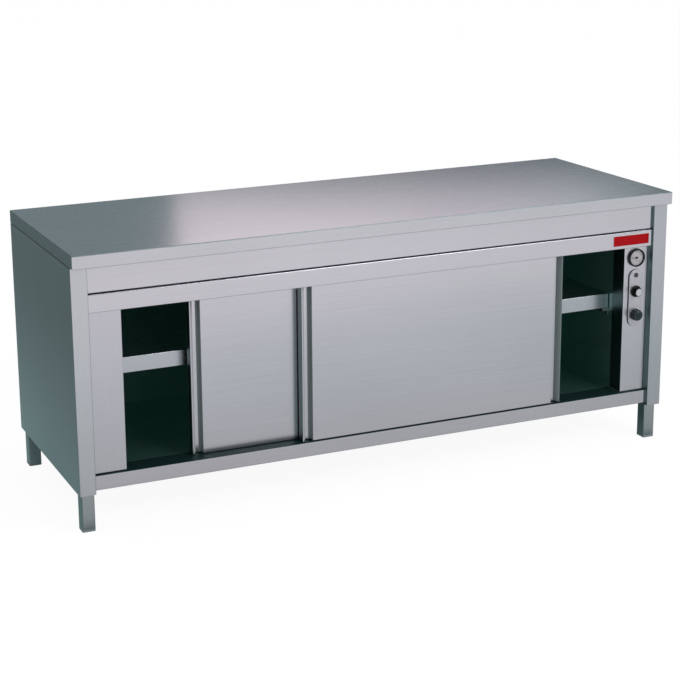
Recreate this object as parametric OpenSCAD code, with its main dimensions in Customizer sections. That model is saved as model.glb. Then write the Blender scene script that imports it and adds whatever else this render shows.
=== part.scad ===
// Heated plate cabinet: a long stainless worktop on four square legs, with two
// insulated sliding doors, one inner shelf, and a fan heater behind a control panel.
// Millimetres. X runs along the length, Y from front to back, Z up.
// The origin is on the floor, under the middle of the worktop.

/* [Overall] */
// Length of the worktop and of the body
overall_length = 2000; // [1600:50:2400]
// Depth of the worktop from front to back
overall_depth = 700; // [640:10:800]
// Height of the worktop above the floor, feet screwed in
overall_height = 840; // [800:5:900]

/* [Sheet metal] */
// Thickness of the outer panels
panel_sheet = 1.2; // [0.8:0.1:1.6]
// Thickness of the sheets that line the heated cavity
liner_sheet = 1; // [0.8:0.1:1.5]
// Gap left where one sheet piece is seated against another
seat_gap = 0.3; // [0.2:0.05:0.4]
// Width of the folded flanges that stiffen the panels
flange = 20; // [15:1:25]

/* [Worktop] */
// Height of the worktop's folded edge
worktop_edge = 40; // [36:1:60]
// Thickness of the worktop sheet
worktop_sheet = 1.5; // [1:0.1:2]
// Width of the flange folded back under the worktop
worktop_return = 60; // [50:1:90]
// Thickness of the sound-deadening board under the sheet
board_thickness = 18; // [12:1:24]
// How far the worktop stands out in front of the body
front_overhang = 24; // [10:1:40]

/* [Body] */
// Free height under the body
body_clearance = 118; // [100:1:150]
// Width of each side panel's folded front stile
stile_width = 50; // [48:1:60]
// Depth of the return folded back from the stile
stile_return = 35; // [32:1:39]
// Thickness of the insulated back, from cavity to rear face
back_thickness = 50; // [46:1:60]
// Thickness of the insulation over the cavity and on its left
insulation_thickness = 30; // [20:1:40]

/* [Legs and feet] */
// Width of the square leg tube
leg_size = 40; // [36:1:42]
// Wall of the leg tube
leg_wall = 1.5; // [1:0.1:2]
// Inset of the legs from the body's ends
leg_side_inset = 8; // [7:0.5:9]
// Inset of the front legs behind the stile's face
leg_front_inset = 15; // [8:1:30]
// Inset of the rear legs from the rear face
leg_rear_inset = 17; // [8:1:30]
// Height of the foot's square shoe
shoe_height = 8; // [6:0.5:12]
// Diameter of the foot's threaded stem
stem_d = 10; // [8:1:12]
// How far a foot screws out
foot_travel = 40; // [20:1:50]
// Length of the threaded plug in the leg's end
plug_length = 30; // [25:1:40]
// Thread left in the plug when the foot is fully out
stem_engagement = 15; // [10:1:20]

/* [Front] */
// Height of the apron under the worktop
apron_height = 83.5; // [60:0.5:110]
// Dark gap between the apron and the fascia
shadow_gap = 2.5; // [2:0.5:8]
// Height of the fascia that covers the door track
fascia_height = 54; // [50:1:64]
// Setback of the apron behind the stile's face
apron_setback = 19; // [15:1:22]
// Setback of the fascia behind the stile's face
fascia_setback = 13; // [8:0.5:13]
// Setback of the bottom rail behind the stile's face
rail_setback = 20; // [16:1:22]
// Height of the bottom rail
rail_height = 46; // [40:1:60]
// Height of the bottom rail above the side panels' lower edge
rail_rise = 4; // [2:0.5:8]
// Depth of the bottom rail's top face
rail_depth = 76; // [72:1:90]
// Setback of the filler and control panels behind the stile's face
panel_setback = 29; // [27:0.5:31]
// Width from the left stile to the doorway
filler_width = 104; // [80:1:160]
// Width from the doorway to the right stile
control_width = 88; // [86:1:110]

/* [Doors] */
// How far the doors overlap when both are closed
door_overlap = 114; // [100:1:160]
// Thickness of a door
door_thickness = 28; // [26:0.5:30]
// Setback of the front door behind the stile's face
door_setback = 25; // [23:0.5:26]
// Distance between the two tracks
track_pitch = 35; // [33.5:0.5:36]
// Gap between a door and the bottom rail
door_lift = 3; // [2:0.5:5]
// How far the left door stands open in the resting position
left_door_open = 218; // [100:1:300]
// How far the right door stands open in the resting position
right_door_open = 234; // [100:1:300]
// Thickness of the door's sheets
door_sheet = 1; // [0.8:0.1:1.2]
// Width of the rim along each side edge of a door
rim_width = 3; // [2.5:0.25:5]
// Run of the finger groove's sloping side, from the rim to the floor
groove_slope = 11.5; // [9:0.5:16]
// Width of the finger groove's floor
groove_width = 19; // [16:0.5:26]
// Depth of the finger groove
groove_depth = 18; // [14:0.5:22]

/* [Track and rollers] */
// Height of the double track
track_height = 28; // [27:0.5:32]
// Wall of the track
track_wall = 1.5; // [1.2:0.1:2]
// Inner width of one channel
channel_width = 30; // [27:0.5:31]
// Width of the slot that the hangers pass through
track_slot = 10; // [8:0.5:11]
// Rolling diameter of a roller
roller_d = 22; // [18:0.5:22]
// Width of one roller
roller_width = 8; // [6:0.5:9]
// Gap kept between a roller and the track
roller_gap = 0.3; // [0.2:0.05:0.5]
// Diameter of the roller's axle
axle_d = 6; // [5:0.5:8]
// Thickness of the hanger plate
hanger_plate = 3; // [2:0.5:4]
// Distance from a door's edge to its hanger
hanger_inset = 110; // [80:1:200]
// Gap between a door's top and the track
hanger_clearance = 8; // [7:0.5:12]
// Thickness of the guide fins under the doors
guide_fin = 4; // [3:0.5:5]
// Height of the guide fins
guide_height = 12; // [8:0.5:14]
// Running clearance all round a guide fin
guide_clearance = 1; // [0.5:0.1:1.5]

/* [Shelf] */
// Height of the shelf's top above the cavity floor
shelf_rise = 319; // [200:1:340]
// Height of the shelf's folded edges
shelf_edge = 49; // [30:1:60]
// Setback of the shelf behind the bottom rail
shelf_setback = 15; // [5:1:60]
// Gap behind the shelf
shelf_back_gap = 10; // [5:1:40]
// Gap at each end of the shelf
shelf_end_gap = 3; // [1:0.5:6]
// Width of the angle that carries each end of the shelf
bracket_width = 22; // [16:1:30]
// Thickness of that angle
bracket_sheet = 2; // [1.5:0.1:3]

/* [Controls] */
// Thermometer's centre below the fascia's lower edge
thermometer_drop = 38; // [36:1:42]
// Outer diameter of the thermometer's bezel
bezel_d = 60; // [58:1:64]
// Diameter of the thermometer's face
dial_d = 51; // [48:1:52]
// How far the bezel stands out
bezel_height = 9; // [8:0.5:12]
// Upper end of the raised plate below the fascia's lower edge
plate_drop = 77; // [75:1:100]
// Height of the raised plate
plate_height = 192; // [188:1:210]
// Width of the raised plate
plate_width = 50; // [44:1:56]
// How far the plate stands out
plate_raise = 5.5; // [3:0.5:8]
// Pilot lamp below the plate's upper end
lamp_drop = 19; // [16:1:22]
// Diameter of the pilot lamp's lens
lamp_d = 15; // [12:0.5:18]
// Thermostat knob below the plate's upper end
thermostat_drop = 73; // [60:1:80]
// Switch knob below the plate's upper end
switch_drop = 151; // [140:1:160]
// Diameter of the knobs' skirts
knob_d = 38; // [30:1:42]
// How far the knobs stand out from the plate
knob_height = 20; // [16:1:26]
// Diameter of the knobs' spindles
spindle_d = 6; // [5:0.5:8]
// Length of the blank plate on the fascia
badge_length = 136; // [60:1:160]
// Height of the blank plate on the fascia
badge_height = 35; // [20:1:44]
// Distance from the blank plate to the right stile
badge_inset = 8; // [4:1:60]

/* [Heater] */
// Width of the square fan frame
fan_size = 120; // [92:1:130]
// Depth of the fan frame
fan_depth = 38; // [32:1:42]
// Fan's distance in front of the cavity's back
fan_back = 150; // [100:1:250]
// Diameter of the heating element's tube
element_d = 8.5; // [6:0.5:10]
// Distance between the element's runs
element_pitch = 40; // [30:1:44]
// Length of the element's straight runs
element_run = 160; // [100:1:240]
// Distance of the element from the wall it stands on
element_standoff = 40; // [30:1:50]
// Height of the element's lowest run above the cavity floor
element_rise = 80; // [60:1:90]
// Outer diameter of the cable gland's thread
gland_d = 20; // [16:1:25]
// Gland's distance in front of the cavity's back
gland_back = 50; // [40:1:80]

/* [Hidden] */

// Round solids: fine for what shows, plain for small hidden pieces
round_fn = 96;
small_fn = 32;
// Extra length that lets a cut pass clean through
cut = 1;
// Clearance between a turning piece and its bore, all round
turning_gap = 0.05;
// Clearance of a piece that is pushed into its hole, all round
push_gap = 0.1;

// Ends, faces and levels that the pieces share
end_x = overall_length / 2;
front_y = -overall_depth / 2;
rear_y = overall_depth / 2;
stile_y = front_y + front_overhang;
worktop_z = overall_height - worktop_edge;
body_z = body_clearance;
inner_x = end_x - stile_width;
seat_x = inner_x - seat_gap;

// Front pieces
apron_y = stile_y + apron_setback;
fascia_y = stile_y + fascia_setback;
rail_y = stile_y + rail_setback;
panel_y = stile_y + panel_setback;
panel_back_y = panel_y + panel_sheet;
apron_z = worktop_z - apron_height;
fascia_top = apron_z - shadow_gap;
fascia_z = fascia_top - fascia_height;
rail_z = body_z + rail_rise;
rail_top = rail_z + rail_height;
rail_back_y = rail_y + rail_depth;
base_z = rail_z + panel_sheet;
base_top = base_z + panel_sheet;

// Heated cavity: inner faces of its walls
cavity_left = -inner_x + filler_width;
cavity_right = inner_x - control_width;
cavity_back_y = rear_y - back_thickness;
ceiling_z = fascia_top - panel_sheet - liner_sheet;
opening_width = cavity_right - cavity_left;

// Doors in the resting position
door_width = (opening_width + door_overlap) / 2;
door_y = stile_y + door_setback;
track_z = ceiling_z - track_height;
door_z = rail_top + door_lift;
door_top = track_z - hanger_clearance;
door_height = door_top - door_z;
left_door_x = cavity_left + left_door_open + door_width / 2;
right_door_x = cavity_right - right_door_open - door_width / 2;
front_line = door_y + door_thickness / 2;
rear_line = front_line + track_pitch;
post_end_y = rear_line + door_thickness / 2 + 2;
hanger_x = door_width / 2 - hanger_inset;
face_half = door_width / 2 - rim_width - groove_slope - groove_width;
rear_flange = 12;
core_gap = 0.3;
hem_gap = 3;

// Rollers and hangers
axle_z = track_z + track_wall + roller_d / 2;
wheel_r = roller_d / 2 - roller_gap;
wheel_start = hanger_plate / 2 + 0.5;
washer_start = wheel_start + roller_width + 0.4;
washer_thickness = 1;
axle_end = washer_start + washer_thickness;
washer_d = axle_d + 4;
eye_d = roller_d - 4;
foot_plate = [60, 22, 3];
hanger_width = 30;
hanger_screw_inset = 7;

// Fixed guide: the doors' slots are as long as their travel past it
guide_length = 24;
guide_base = 1.5;
guide_slot = guide_fin + 2 * guide_clearance;
guide_slot_half = (opening_width - door_width + guide_length) / 2 + guide_clearance;

// Cavity
liner_flange = 12;

// Shelf
shelf_top = rail_top + shelf_rise;
shelf_bottom = shelf_top - shelf_edge;
shelf_y = rail_back_y + shelf_setback;
shelf_back_y = cavity_back_y - shelf_back_gap;
shelf_lip = 12;
bracket_setback = 2;

// Controls: one column down the middle of the control panel
control_x = (cavity_right + seat_x) / 2;
thermometer_z = fascia_z - thermometer_drop;
plate_top = fascia_z - plate_drop;
plate_y = panel_y - plate_raise;
lamp_z = plate_top - lamp_drop;
thermostat_z = plate_top - thermostat_drop;
switch_z = plate_top - switch_drop;
spindle_hole = spindle_d + 2;
spindle_reach = 12;
knob_gap = 0.5;
knob_neck = 4;
knob_groove = 6;
device_width = 40;
thermostat_depth = 36;
switch_depth = 48;
badge_thickness = 1;
badge_border = 1.5;
badge_recess = 0.3;

// Thermometer: sizes of the pieces inside its case
case_d = dial_d - 3;
case_depth = 20;
stem_tube = 8;
stem_length = 12;
glass_thickness = 1.2;
dial_thickness = 0.8;
glass_inset = 0.7;
glass_y = panel_y - bezel_height + glass_inset;
dial_y = panel_y - 2.5;
needle_y = (glass_y + glass_thickness + dial_y) / 2;
needle_hub = 7;
needle_tail = 7;
needle_width = 1.8;
needle_thickness = 0.8;
pivot_d = 2;
pivot_depth = 4;

// Pilot lamp
lamp_stem = lamp_d - 3;
lamp_depth = 25;
lamp_tab = 8;

// Fan heater on the right wall, behind the controls
heater_x = cavity_right + liner_sheet;
fan_y = cavity_back_y - fan_back;
fan_z = (shelf_top + ceiling_z) / 2;
fan_bore = fan_size - 6;
fan_arm = 6;
fan_arm_depth = 4;
motor_depth = 10;
hub_d = 40;
hub_start = 3;
hub_end = fan_depth - motor_depth - 1;
fan_shaft = 4;
blade_count = 7;
blade_gap = 2;
blade_depth = 20;
blade_thickness = 1.6;
blade_pitch = 35;
element_x = heater_x + element_standoff;
element_z = rail_top + element_rise;
element_runs = 4;
element_turn = element_pitch / 2;
element_y = fan_y - element_run / 2;
element_top = element_z + (element_runs - 1) * element_pitch;
element_tail = 25;
element_plate = 3;
element_plate_margin = 8;
vent_hole = 8;
vent_pitch = 14;
vent_slot = 8;
vent_end = 25;

// Thermostat's capillary tube and sensing bulb
tube_d = 3;
bulb_d = 7;
bulb_length = 80;
bulb_start = fan_y - fan_size / 2 - bulb_length - 20;
bulb_clip = 4;

// Terminal block
terminal_size = [60, 22, 20];
terminal_rise = 30;
terminal_pitch = 11;
terminal_hole = 5;
terminal_depth = 8;

// Cable inlet and base screws
gland_y = cavity_back_y - gland_back;
gland_bore = gland_d / 2;
gland_hex = gland_d + 7;
gland_head = 12;
gland_nut = 5;
gland_end = 3;
screw_d = 4;
screw_length = 10;
screw_head = 8;
screw_head_height = 2.2;
screw_count = 9;
screw_y = rail_y + flange * 3 / 4;
screw_end = 70;
screw_span = 2 * (inner_x - screw_end);

// ---------------------------------------------------------------- helpers

// A box from three ranges
module slab(x, y, z) {
  translate([x[0], y[0], z[0]])
    cube([x[1] - x[0], y[1] - y[0], z[1] - z[0]]);
}

// A range that reaches half to each side of a middle
function around(middle, half) = [middle - half, middle + half];

// A rod along Y from y[0] to y[1]
module rod_y(d, y, fn = small_fn) {
  translate([0, y[0], 0])
    rotate([-90, 0, 0])
      cylinder(d = d, h = y[1] - y[0], $fn = fn);
}

// A rod along X from x[0] to x[1]
module rod_x(d, x, fn = small_fn) {
  translate([x[0], 0, 0])
    rotate([0, 90, 0])
      cylinder(d = d, h = x[1] - x[0], $fn = fn);
}

// An upright rod from z[0] to z[1]
module rod_z(d, z, fn = small_fn) {
  translate([0, 0, z[0]])
    cylinder(d = d, h = z[1] - z[0], $fn = fn);
}

// A turned piece on a front-to-back axis: the profile is [radius, distance
// in front of y = 0], so it is drawn as it stands out of the panel
module turned_y(profile, fn = round_fn) {
  rotate([90, 0, 0])
    rotate_extrude($fn = fn)
      polygon(profile);
}

// The same piece at the left end and, mirrored, at the right end
module at_side(left) {
  mirror([left ? 1 : 0, 0, 0])
    children();
}

// ---------------------------------------------------------------- worktop

// Sheet tray with folded edges and a flange all round its underside
module worktop() {
  color([0.70, 0.72, 0.74])
    difference() {
      slab([-end_x, end_x], [front_y, rear_y], [worktop_z, overall_height]);
      slab([-end_x + worktop_sheet, end_x - worktop_sheet],
           [front_y + worktop_sheet, rear_y - worktop_sheet],
           [worktop_z + worktop_sheet, overall_height - worktop_sheet]);
      slab([-end_x + worktop_return, end_x - worktop_return],
           [front_y + worktop_return, rear_y - worktop_return],
           [worktop_z - cut, worktop_z + worktop_sheet + cut]);
    }
}

// Board glued to the underside of the sheet
module worktop_board() {
  edge = worktop_sheet + seat_gap;
  top = overall_height - worktop_sheet;
  color([0.76, 0.66, 0.50])
    slab([-end_x + edge, end_x - edge], [front_y + edge, rear_y - edge],
         [top - board_thickness, top]);
}

// ------------------------------------------------------------ legs and feet

// Near corner of a leg, on the right-hand side
leg_x = end_x - leg_side_inset - leg_size;
front_leg_y = stile_y + leg_front_inset;
rear_leg_y = rear_y - leg_rear_inset - leg_size;
leg_z = shoe_height + seat_gap;
leg_top = worktop_z - panel_sheet;

// Square tube, open at both ends
module leg(y) {
  color([0.55, 0.58, 0.60])
    difference() {
      slab([leg_x, leg_x + leg_size], [y, y + leg_size], [leg_z, leg_top]);
      slab([leg_x + leg_wall, leg_x + leg_size - leg_wall],
           [y + leg_wall, y + leg_size - leg_wall],
           [leg_z - cut, leg_top + cut]);
    }
}

// Plug in the leg's end, with the hole that the stem screws into
module leg_plug(y) {
  inset = leg_wall + push_gap;
  difference() {
    slab([leg_x + inset, leg_x + leg_size - inset],
         [y + inset, y + leg_size - inset],
         [leg_z, leg_z + plug_length]);
    translate([leg_x + leg_size / 2, y + leg_size / 2, leg_z - cut])
      cylinder(d = stem_d + 2 * turning_gap, h = plug_length + 2 * cut, $fn = round_fn);
  }
}

module leg_plugs() {
  color([0.20, 0.20, 0.21])
    for (left = [false, true], y = [front_leg_y, rear_leg_y])
      at_side(left)
        leg_plug(y);
}

// Square shoe with round corners, on its threaded stem
module foot(y) {
  corner = 3;
  color([0.72, 0.72, 0.74])
    translate([leg_x + leg_size / 2, y + leg_size / 2, 0]) {
      linear_extrude(shoe_height)
        union() {
          square([leg_size, leg_size - 2 * corner], center = true);
          square([leg_size - 2 * corner, leg_size], center = true);
          for (a = [-1, 1], b = [-1, 1])
            translate([a * (leg_size / 2 - corner), b * (leg_size / 2 - corner)])
              circle(r = corner, $fn = small_fn);
        }
      cylinder(d = stem_d, h = shoe_height + foot_travel + stem_engagement, $fn = round_fn);
    }
}

// ------------------------------------------------------------------- body

// Side panel: outer sheet folded round into the front stile, the rear return
// and flanges above and below, with cut-outs that the legs pass through
module side_panel() {
  color([0.62, 0.66, 0.68])
    difference() {
      union() {
        difference() {
          slab([inner_x, end_x], [stile_y, rear_y], [body_z, worktop_z]);
          slab([inner_x - cut, end_x - panel_sheet],
               [stile_y + panel_sheet, rear_y - panel_sheet],
               [body_z + panel_sheet, worktop_z - panel_sheet]);
        }
        slab([inner_x, inner_x + panel_sheet], [stile_y, stile_y + stile_return],
             [body_z, worktop_z]);
        slab([inner_x, inner_x + panel_sheet], [rear_y - flange, rear_y],
             [body_z, worktop_z]);
        slab([inner_x, inner_x + panel_sheet], [stile_y, rear_y],
             [body_z, body_z + flange]);
      }
      for (y = [front_leg_y, rear_leg_y])
        slab([leg_x - seat_gap, leg_x + leg_size + seat_gap],
             [y - seat_gap, y + leg_size + seat_gap],
             [body_z - cut, body_z + panel_sheet + cut]);
    }
}

// Rear sheet with a flange along its top and one down each end
module back_panel() {
  color([0.55, 0.58, 0.60]) {
    slab([-seat_x, seat_x], [rear_y - panel_sheet, rear_y], [rail_z, worktop_z]);
    slab([-seat_x, seat_x], [rear_y - 1.5 * flange, rear_y],
         [worktop_z - panel_sheet, worktop_z]);
    for (left = [false, true])
      at_side(left)
        slab([seat_x - panel_sheet, seat_x], [rear_y - flange, rear_y],
             [base_top + seat_gap, worktop_z]);
  }
}

// Underside sheet with an upstand at each end, drilled for screws and the gland
module base_panel() {
  color([0.50, 0.52, 0.54])
    difference() {
      union() {
        slab([-seat_x, seat_x], [rail_y + panel_sheet + seat_gap, rear_y - panel_sheet - seat_gap],
             [base_z, base_top]);
        for (left = [false, true])
          at_side(left)
            slab([seat_x - panel_sheet, seat_x],
                 [rail_back_y, rear_y - flange - panel_sheet],
                 [base_z, base_z + flange]);
      }
      base_screw_holes();
      translate([control_x, gland_y, base_z - cut])
        cylinder(d = gland_d + 2 * turning_gap, h = panel_sheet + 2 * cut, $fn = round_fn);
    }
}

// Places of the screws that hold the base to the bottom rail
module at_base_screws() {
  for (i = [0:screw_count - 1])
    translate([-screw_span / 2 + i * screw_span / (screw_count - 1), screw_y, rail_z])
      children();
}

module base_screw_holes() {
  at_base_screws()
    translate([0, 0, -cut])
      cylinder(d = screw_d + 2 * turning_gap, h = 2 * panel_sheet + 2 * cut, $fn = small_fn);
}

module base_screws() {
  color([0.60, 0.60, 0.62])
    at_base_screws() {
      translate([0, 0, -screw_head_height])
        cylinder(d = screw_head, h = screw_head_height, $fn = small_fn);
      cylinder(d = screw_d, h = screw_length, $fn = small_fn);
    }
}

// Bottom rail: front sheet, wide top face, back leg standing on the base, and
// a flange under it that the base is screwed to
module bottom_rail() {
  color([0.66, 0.66, 0.68])
    difference() {
      union() {
        slab([-seat_x, seat_x], [rail_y, rail_y + panel_sheet], [rail_z, rail_top]);
        slab([-seat_x, seat_x], [rail_y, rail_back_y], [rail_top - panel_sheet, rail_top]);
        slab([-seat_x, seat_x], [rail_back_y - panel_sheet, rail_back_y],
             [base_top, rail_top]);
        slab([-seat_x, seat_x], [rail_y, rail_y + 1.5 * flange], [rail_z, base_z]);
      }
      base_screw_holes();
    }
}

// Apron under the worktop, a channel open to the back
module apron() {
  color([0.76, 0.75, 0.77])
    difference() {
      slab([-seat_x, seat_x], [apron_y, apron_y + 1.5 * flange], [apron_z, worktop_z]);
      slab([-seat_x - cut, seat_x + cut], [apron_y + panel_sheet, apron_y + 2 * flange],
           [apron_z + panel_sheet, worktop_z - panel_sheet]);
    }
}

// Fascia that hides the track: it hooks over the ceiling's front edge
module fascia() {
  hem = door_y - hem_gap - fascia_y;
  color([0.76, 0.75, 0.77]) {
    slab([-seat_x, seat_x], [fascia_y, fascia_y + panel_sheet], [fascia_z, fascia_top]);
    slab([-seat_x, seat_x], [fascia_y, fascia_y + 1.5 * flange],
         [fascia_top - panel_sheet, fascia_top]);
    slab([-seat_x, seat_x], [fascia_y, fascia_y + hem], [fascia_z, fascia_z + panel_sheet]);
  }
}

// Plain plate on the fascia, with a raised border
module nameplate() {
  x = inner_x - badge_inset - badge_length;
  z = fascia_z + (fascia_height - badge_height) / 2;
  color([0.66, 0.09, 0.13])
    difference() {
      slab([x, x + badge_length], [fascia_y - badge_thickness, fascia_y],
           [z, z + badge_height]);
      slab([x + badge_border, x + badge_length - badge_border],
           [fascia_y - badge_thickness - cut, fascia_y - badge_thickness + badge_recess],
           [z + badge_border, z + badge_height - badge_border]);
    }
}

// -------------------------------------------------------------- cavity liners

// Wall of the cavity, with flanges folded away from the heat above and below
module cavity_wall(x, outward) {
  y = [post_end_y + seat_gap, cavity_back_y];
  outer = x + outward * liner_sheet;
  tip = x + outward * liner_flange;
  slab([min(x, outer), max(x, outer)], y, [rail_top, ceiling_z]);
  slab([min(x, tip), max(x, tip)], y, [rail_top, rail_top + liner_sheet]);
  slab([min(x, tip), max(x, tip)], y, [ceiling_z - liner_sheet, ceiling_z]);
}

module cavity_wall_left() {
  color([0.20, 0.26, 0.26])
    cavity_wall(cavity_left, -1);
}

// The right wall has holes in front of the fan and slots in front of the element
module cavity_wall_right() {
  vent_r = fan_bore / 2 - vent_hole;
  steps = floor(vent_r / vent_pitch);
  color([0.20, 0.26, 0.26])
    difference() {
      cavity_wall(cavity_right, 1);
      for (i = [-steps:steps], k = [-steps:steps])
        if (sqrt(i * i + k * k) * vent_pitch <= vent_r)
          translate([0, fan_y + i * vent_pitch, fan_z + k * vent_pitch])
            rod_x(vent_hole, [cavity_right - cut, heater_x + cut]);
      for (i = [0:element_runs - 1])
        slab([cavity_right - cut, heater_x + cut],
             [element_y + vent_end, element_y + element_run - vent_end],
             around(element_z + i * element_pitch, vent_slot / 2));
    }
}

module cavity_back() {
  color([0.18, 0.23, 0.23])
    slab([-seat_x, seat_x], [cavity_back_y, cavity_back_y + liner_sheet],
         [rail_top, ceiling_z]);
}

// Floor of the cavity, with a hole over the cable gland
module cavity_floor() {
  color([0.20, 0.26, 0.26])
    difference() {
      slab([-seat_x, seat_x], [rail_back_y + seat_gap, cavity_back_y + liner_sheet],
           [rail_top - liner_sheet, rail_top]);
      translate([control_x, gland_y, rail_top - liner_sheet - cut])
        cylinder(d = gland_d, h = liner_sheet + 2 * cut, $fn = small_fn);
    }
}

// Ceiling of the cavity; the door track hangs under its front edge
module cavity_ceiling() {
  color([0.20, 0.26, 0.26])
    slab([-seat_x, seat_x], [front_line - channel_width / 2 - track_wall, cavity_back_y + liner_sheet],
         [ceiling_z, ceiling_z + liner_sheet]);
}

// Mineral wool under, over, behind and to the left of the cavity
module insulation() {
  under_x = [-seat_x + flange, cavity_right];
  y = [rail_back_y + seat_gap, cavity_back_y];
  color([0.80, 0.74, 0.52]) {
    slab(under_x, y, [base_top, rail_top - liner_sheet]);
    slab(under_x, [y[0] + flange, y[1]],
         [ceiling_z + liner_sheet, ceiling_z + liner_sheet + insulation_thickness]);
    slab([-seat_x + flange, seat_x - flange], [cavity_back_y + liner_sheet, rear_y - panel_sheet],
         [base_top, ceiling_z]);
    slab([cavity_left - liner_sheet - insulation_thickness, cavity_left - liner_sheet],
         [y[0] + flange, y[1]], [rail_top + liner_sheet, ceiling_z - liner_sheet]);
  }
}

// --------------------------------------------------------------- shelf

// Shelf with its front and rear edges folded down and in
module shelf() {
  x = [cavity_left + shelf_end_gap, cavity_right - shelf_end_gap];
  color([0.60, 0.64, 0.66])
    difference() {
      slab(x, [shelf_y, shelf_back_y], [shelf_bottom, shelf_top]);
      slab([x[0] - cut, x[1] + cut], [shelf_y + panel_sheet, shelf_back_y - panel_sheet],
           [shelf_bottom + panel_sheet, shelf_top - panel_sheet]);
      slab([x[0] - cut, x[1] + cut], [shelf_y + shelf_lip, shelf_back_y - shelf_lip],
           [shelf_bottom - cut, shelf_bottom + panel_sheet + cut]);
    }
}

// Angle on the cavity wall, with a short tab closing its front end
module shelf_bracket(wall, inward) {
  y = [shelf_y + bracket_setback, shelf_back_y];
  tip = wall + inward * bracket_width;
  leg_tip = wall + inward * bracket_sheet;
  slab([min(wall, tip), max(wall, tip)], y, [shelf_bottom - bracket_sheet, shelf_bottom]);
  slab([min(wall, leg_tip), max(wall, leg_tip)], y,
       [shelf_bottom - bracket_width, shelf_bottom]);
  slab([min(wall, tip), max(wall, tip)], [y[0], y[0] + bracket_sheet],
       [shelf_bottom - bracket_width / 2, shelf_bottom]);
}

module shelf_brackets() {
  color([0.50, 0.54, 0.55]) {
    shelf_bracket(cavity_left, 1);
    shelf_bracket(cavity_right, -1);
  }
}

// ---------------------------------------------- filler and control panels

// Front panel between a stile and the doorway, folded back along both sides;
// the deep fold is the post that a door closes on
module front_panel(post_x, side) {
  z = [door_z, ceiling_z - seat_gap];
  post = post_x + side * panel_sheet;
  outer = side * seat_x;
  outer_in = outer - side * panel_sheet;
  slab([min(post_x, outer), max(post_x, outer)], [panel_y, panel_back_y], z);
  slab([min(post_x, post), max(post_x, post)], [panel_y, post_end_y], z);
  slab([min(outer, outer_in), max(outer, outer_in)], [panel_y, panel_y + flange / 2], z);
}

module filler_panel() {
  color([0.74, 0.73, 0.75])
    front_panel(cavity_left, -1);
}

// Holes that the controls share
module control_holes(y) {
  translate([control_x, 0, lamp_z])
    rod_y(lamp_stem + 2 * push_gap, y, round_fn);
  for (z = [thermostat_z, switch_z])
    translate([control_x, 0, z])
      rod_y(spindle_hole, y, round_fn);
}

module control_panel() {
  color([0.74, 0.73, 0.75])
    difference() {
      front_panel(cavity_right, 1);
      control_holes([panel_y - cut, panel_back_y + cut]);
      translate([control_x, 0, thermometer_z])
        rod_y(case_d + 2 * push_gap, [panel_y - cut, panel_back_y + cut], round_fn);
    }
}

// ------------------------------------------------------------------ doors

// Outline of a door seen from above, centred on x = 0 with its face at y = 0.
// t moves every wall inwards by one sheet, back is the depth of the outline.
// A sloping wall that moves by t meets its level neighbours at x + shift.
function door_outline(t, back) =
  let (edge = door_width / 2,
       shift = t * (norm([groove_slope, groove_depth]) - groove_slope) / groove_depth,
       rim = edge - rim_width + shift,
       face = face_half - t,
       half = [[edge - t, back], [edge - t, t], [rim, t],
               [rim - groove_slope, groove_depth + t], [face, groove_depth + t], [face, t]])
  concat(half, [for (i = [len(half) - 1:-1:0]) [-half[i][0], half[i][1]]]);

// Door tray: face, finger grooves and rims, and the edge folded in behind
module door_skin() {
  back = door_thickness - door_sheet;
  color([0.75, 0.75, 0.77])
    difference() {
      linear_extrude(door_height)
        polygon(door_outline(0, back));
      translate([0, 0, door_sheet])
        linear_extrude(door_height - 2 * door_sheet)
          polygon(door_outline(door_sheet, back - door_sheet));
      slab([-door_width / 2 + rear_flange, door_width / 2 - rear_flange],
           [back - door_sheet - cut, back + cut],
           [rear_flange, door_height - rear_flange]);
      slab(around(0, guide_slot_half), around(door_thickness / 2, guide_slot / 2),
           [-cut, door_sheet + cut]);
    }
}

// Flat sheet that closes the door's back
module door_liner() {
  color([0.45, 0.49, 0.50])
    slab([-door_width / 2, door_width / 2],
         [door_thickness - door_sheet, door_thickness], [0, door_height]);
}

// Stiff insulation inside the door, clear of the guide slot
module door_core() {
  t = door_sheet + core_gap;
  bottom = guide_height + guide_fin / 2;
  color([0.82, 0.80, 0.70])
    translate([0, 0, bottom])
      linear_extrude(door_height - bottom - t)
        polygon(door_outline(t, door_thickness - 2 * door_sheet - core_gap));
}

// Plate on the door's top that carries one axle between two rollers
module hanger() {
  rise = axle_z - door_top;
  slab(around(0, foot_plate[0] / 2), around(0, foot_plate[1] / 2), [0, foot_plate[2]]);
  slab(around(0, hanger_width / 2), around(0, hanger_plate / 2), [0, rise]);
  translate([0, 0, rise]) {
    rod_y(eye_d, around(0, hanger_plate / 2));
    rod_y(axle_d, around(0, axle_end), round_fn);
    for (y = [-axle_end, washer_start])
      rod_y(washer_d, [y, y + washer_thickness]);
  }
  for (side = [-1, 1])
    translate([side * (foot_plate[0] / 2 - hanger_screw_inset), 0, foot_plate[2]])
      cylinder(d = screw_head, h = screw_head_height, $fn = small_fn);
}

module door_hangers(x, line) {
  color([0.55, 0.55, 0.57])
    for (side = [-1, 1])
      translate([x + side * hanger_x, line, door_top])
        hanger();
}

// A pair of rollers, one on each side of the hanger plate
module roller_pair(x, line) {
  color([0.88, 0.87, 0.82])
    translate([x, line, axle_z])
      for (side = [-1, 1])
        difference() {
          rod_y(2 * wheel_r, side > 0 ? [wheel_start, wheel_start + roller_width]
                                      : [-wheel_start - roller_width, -wheel_start], round_fn);
          rod_y(axle_d + 2 * turning_gap, [-axle_end - cut, axle_end + cut], round_fn);
        }
}

module at_left_door() {
  translate([left_door_x, rear_line - door_thickness / 2, door_z])
    children();
}

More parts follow.
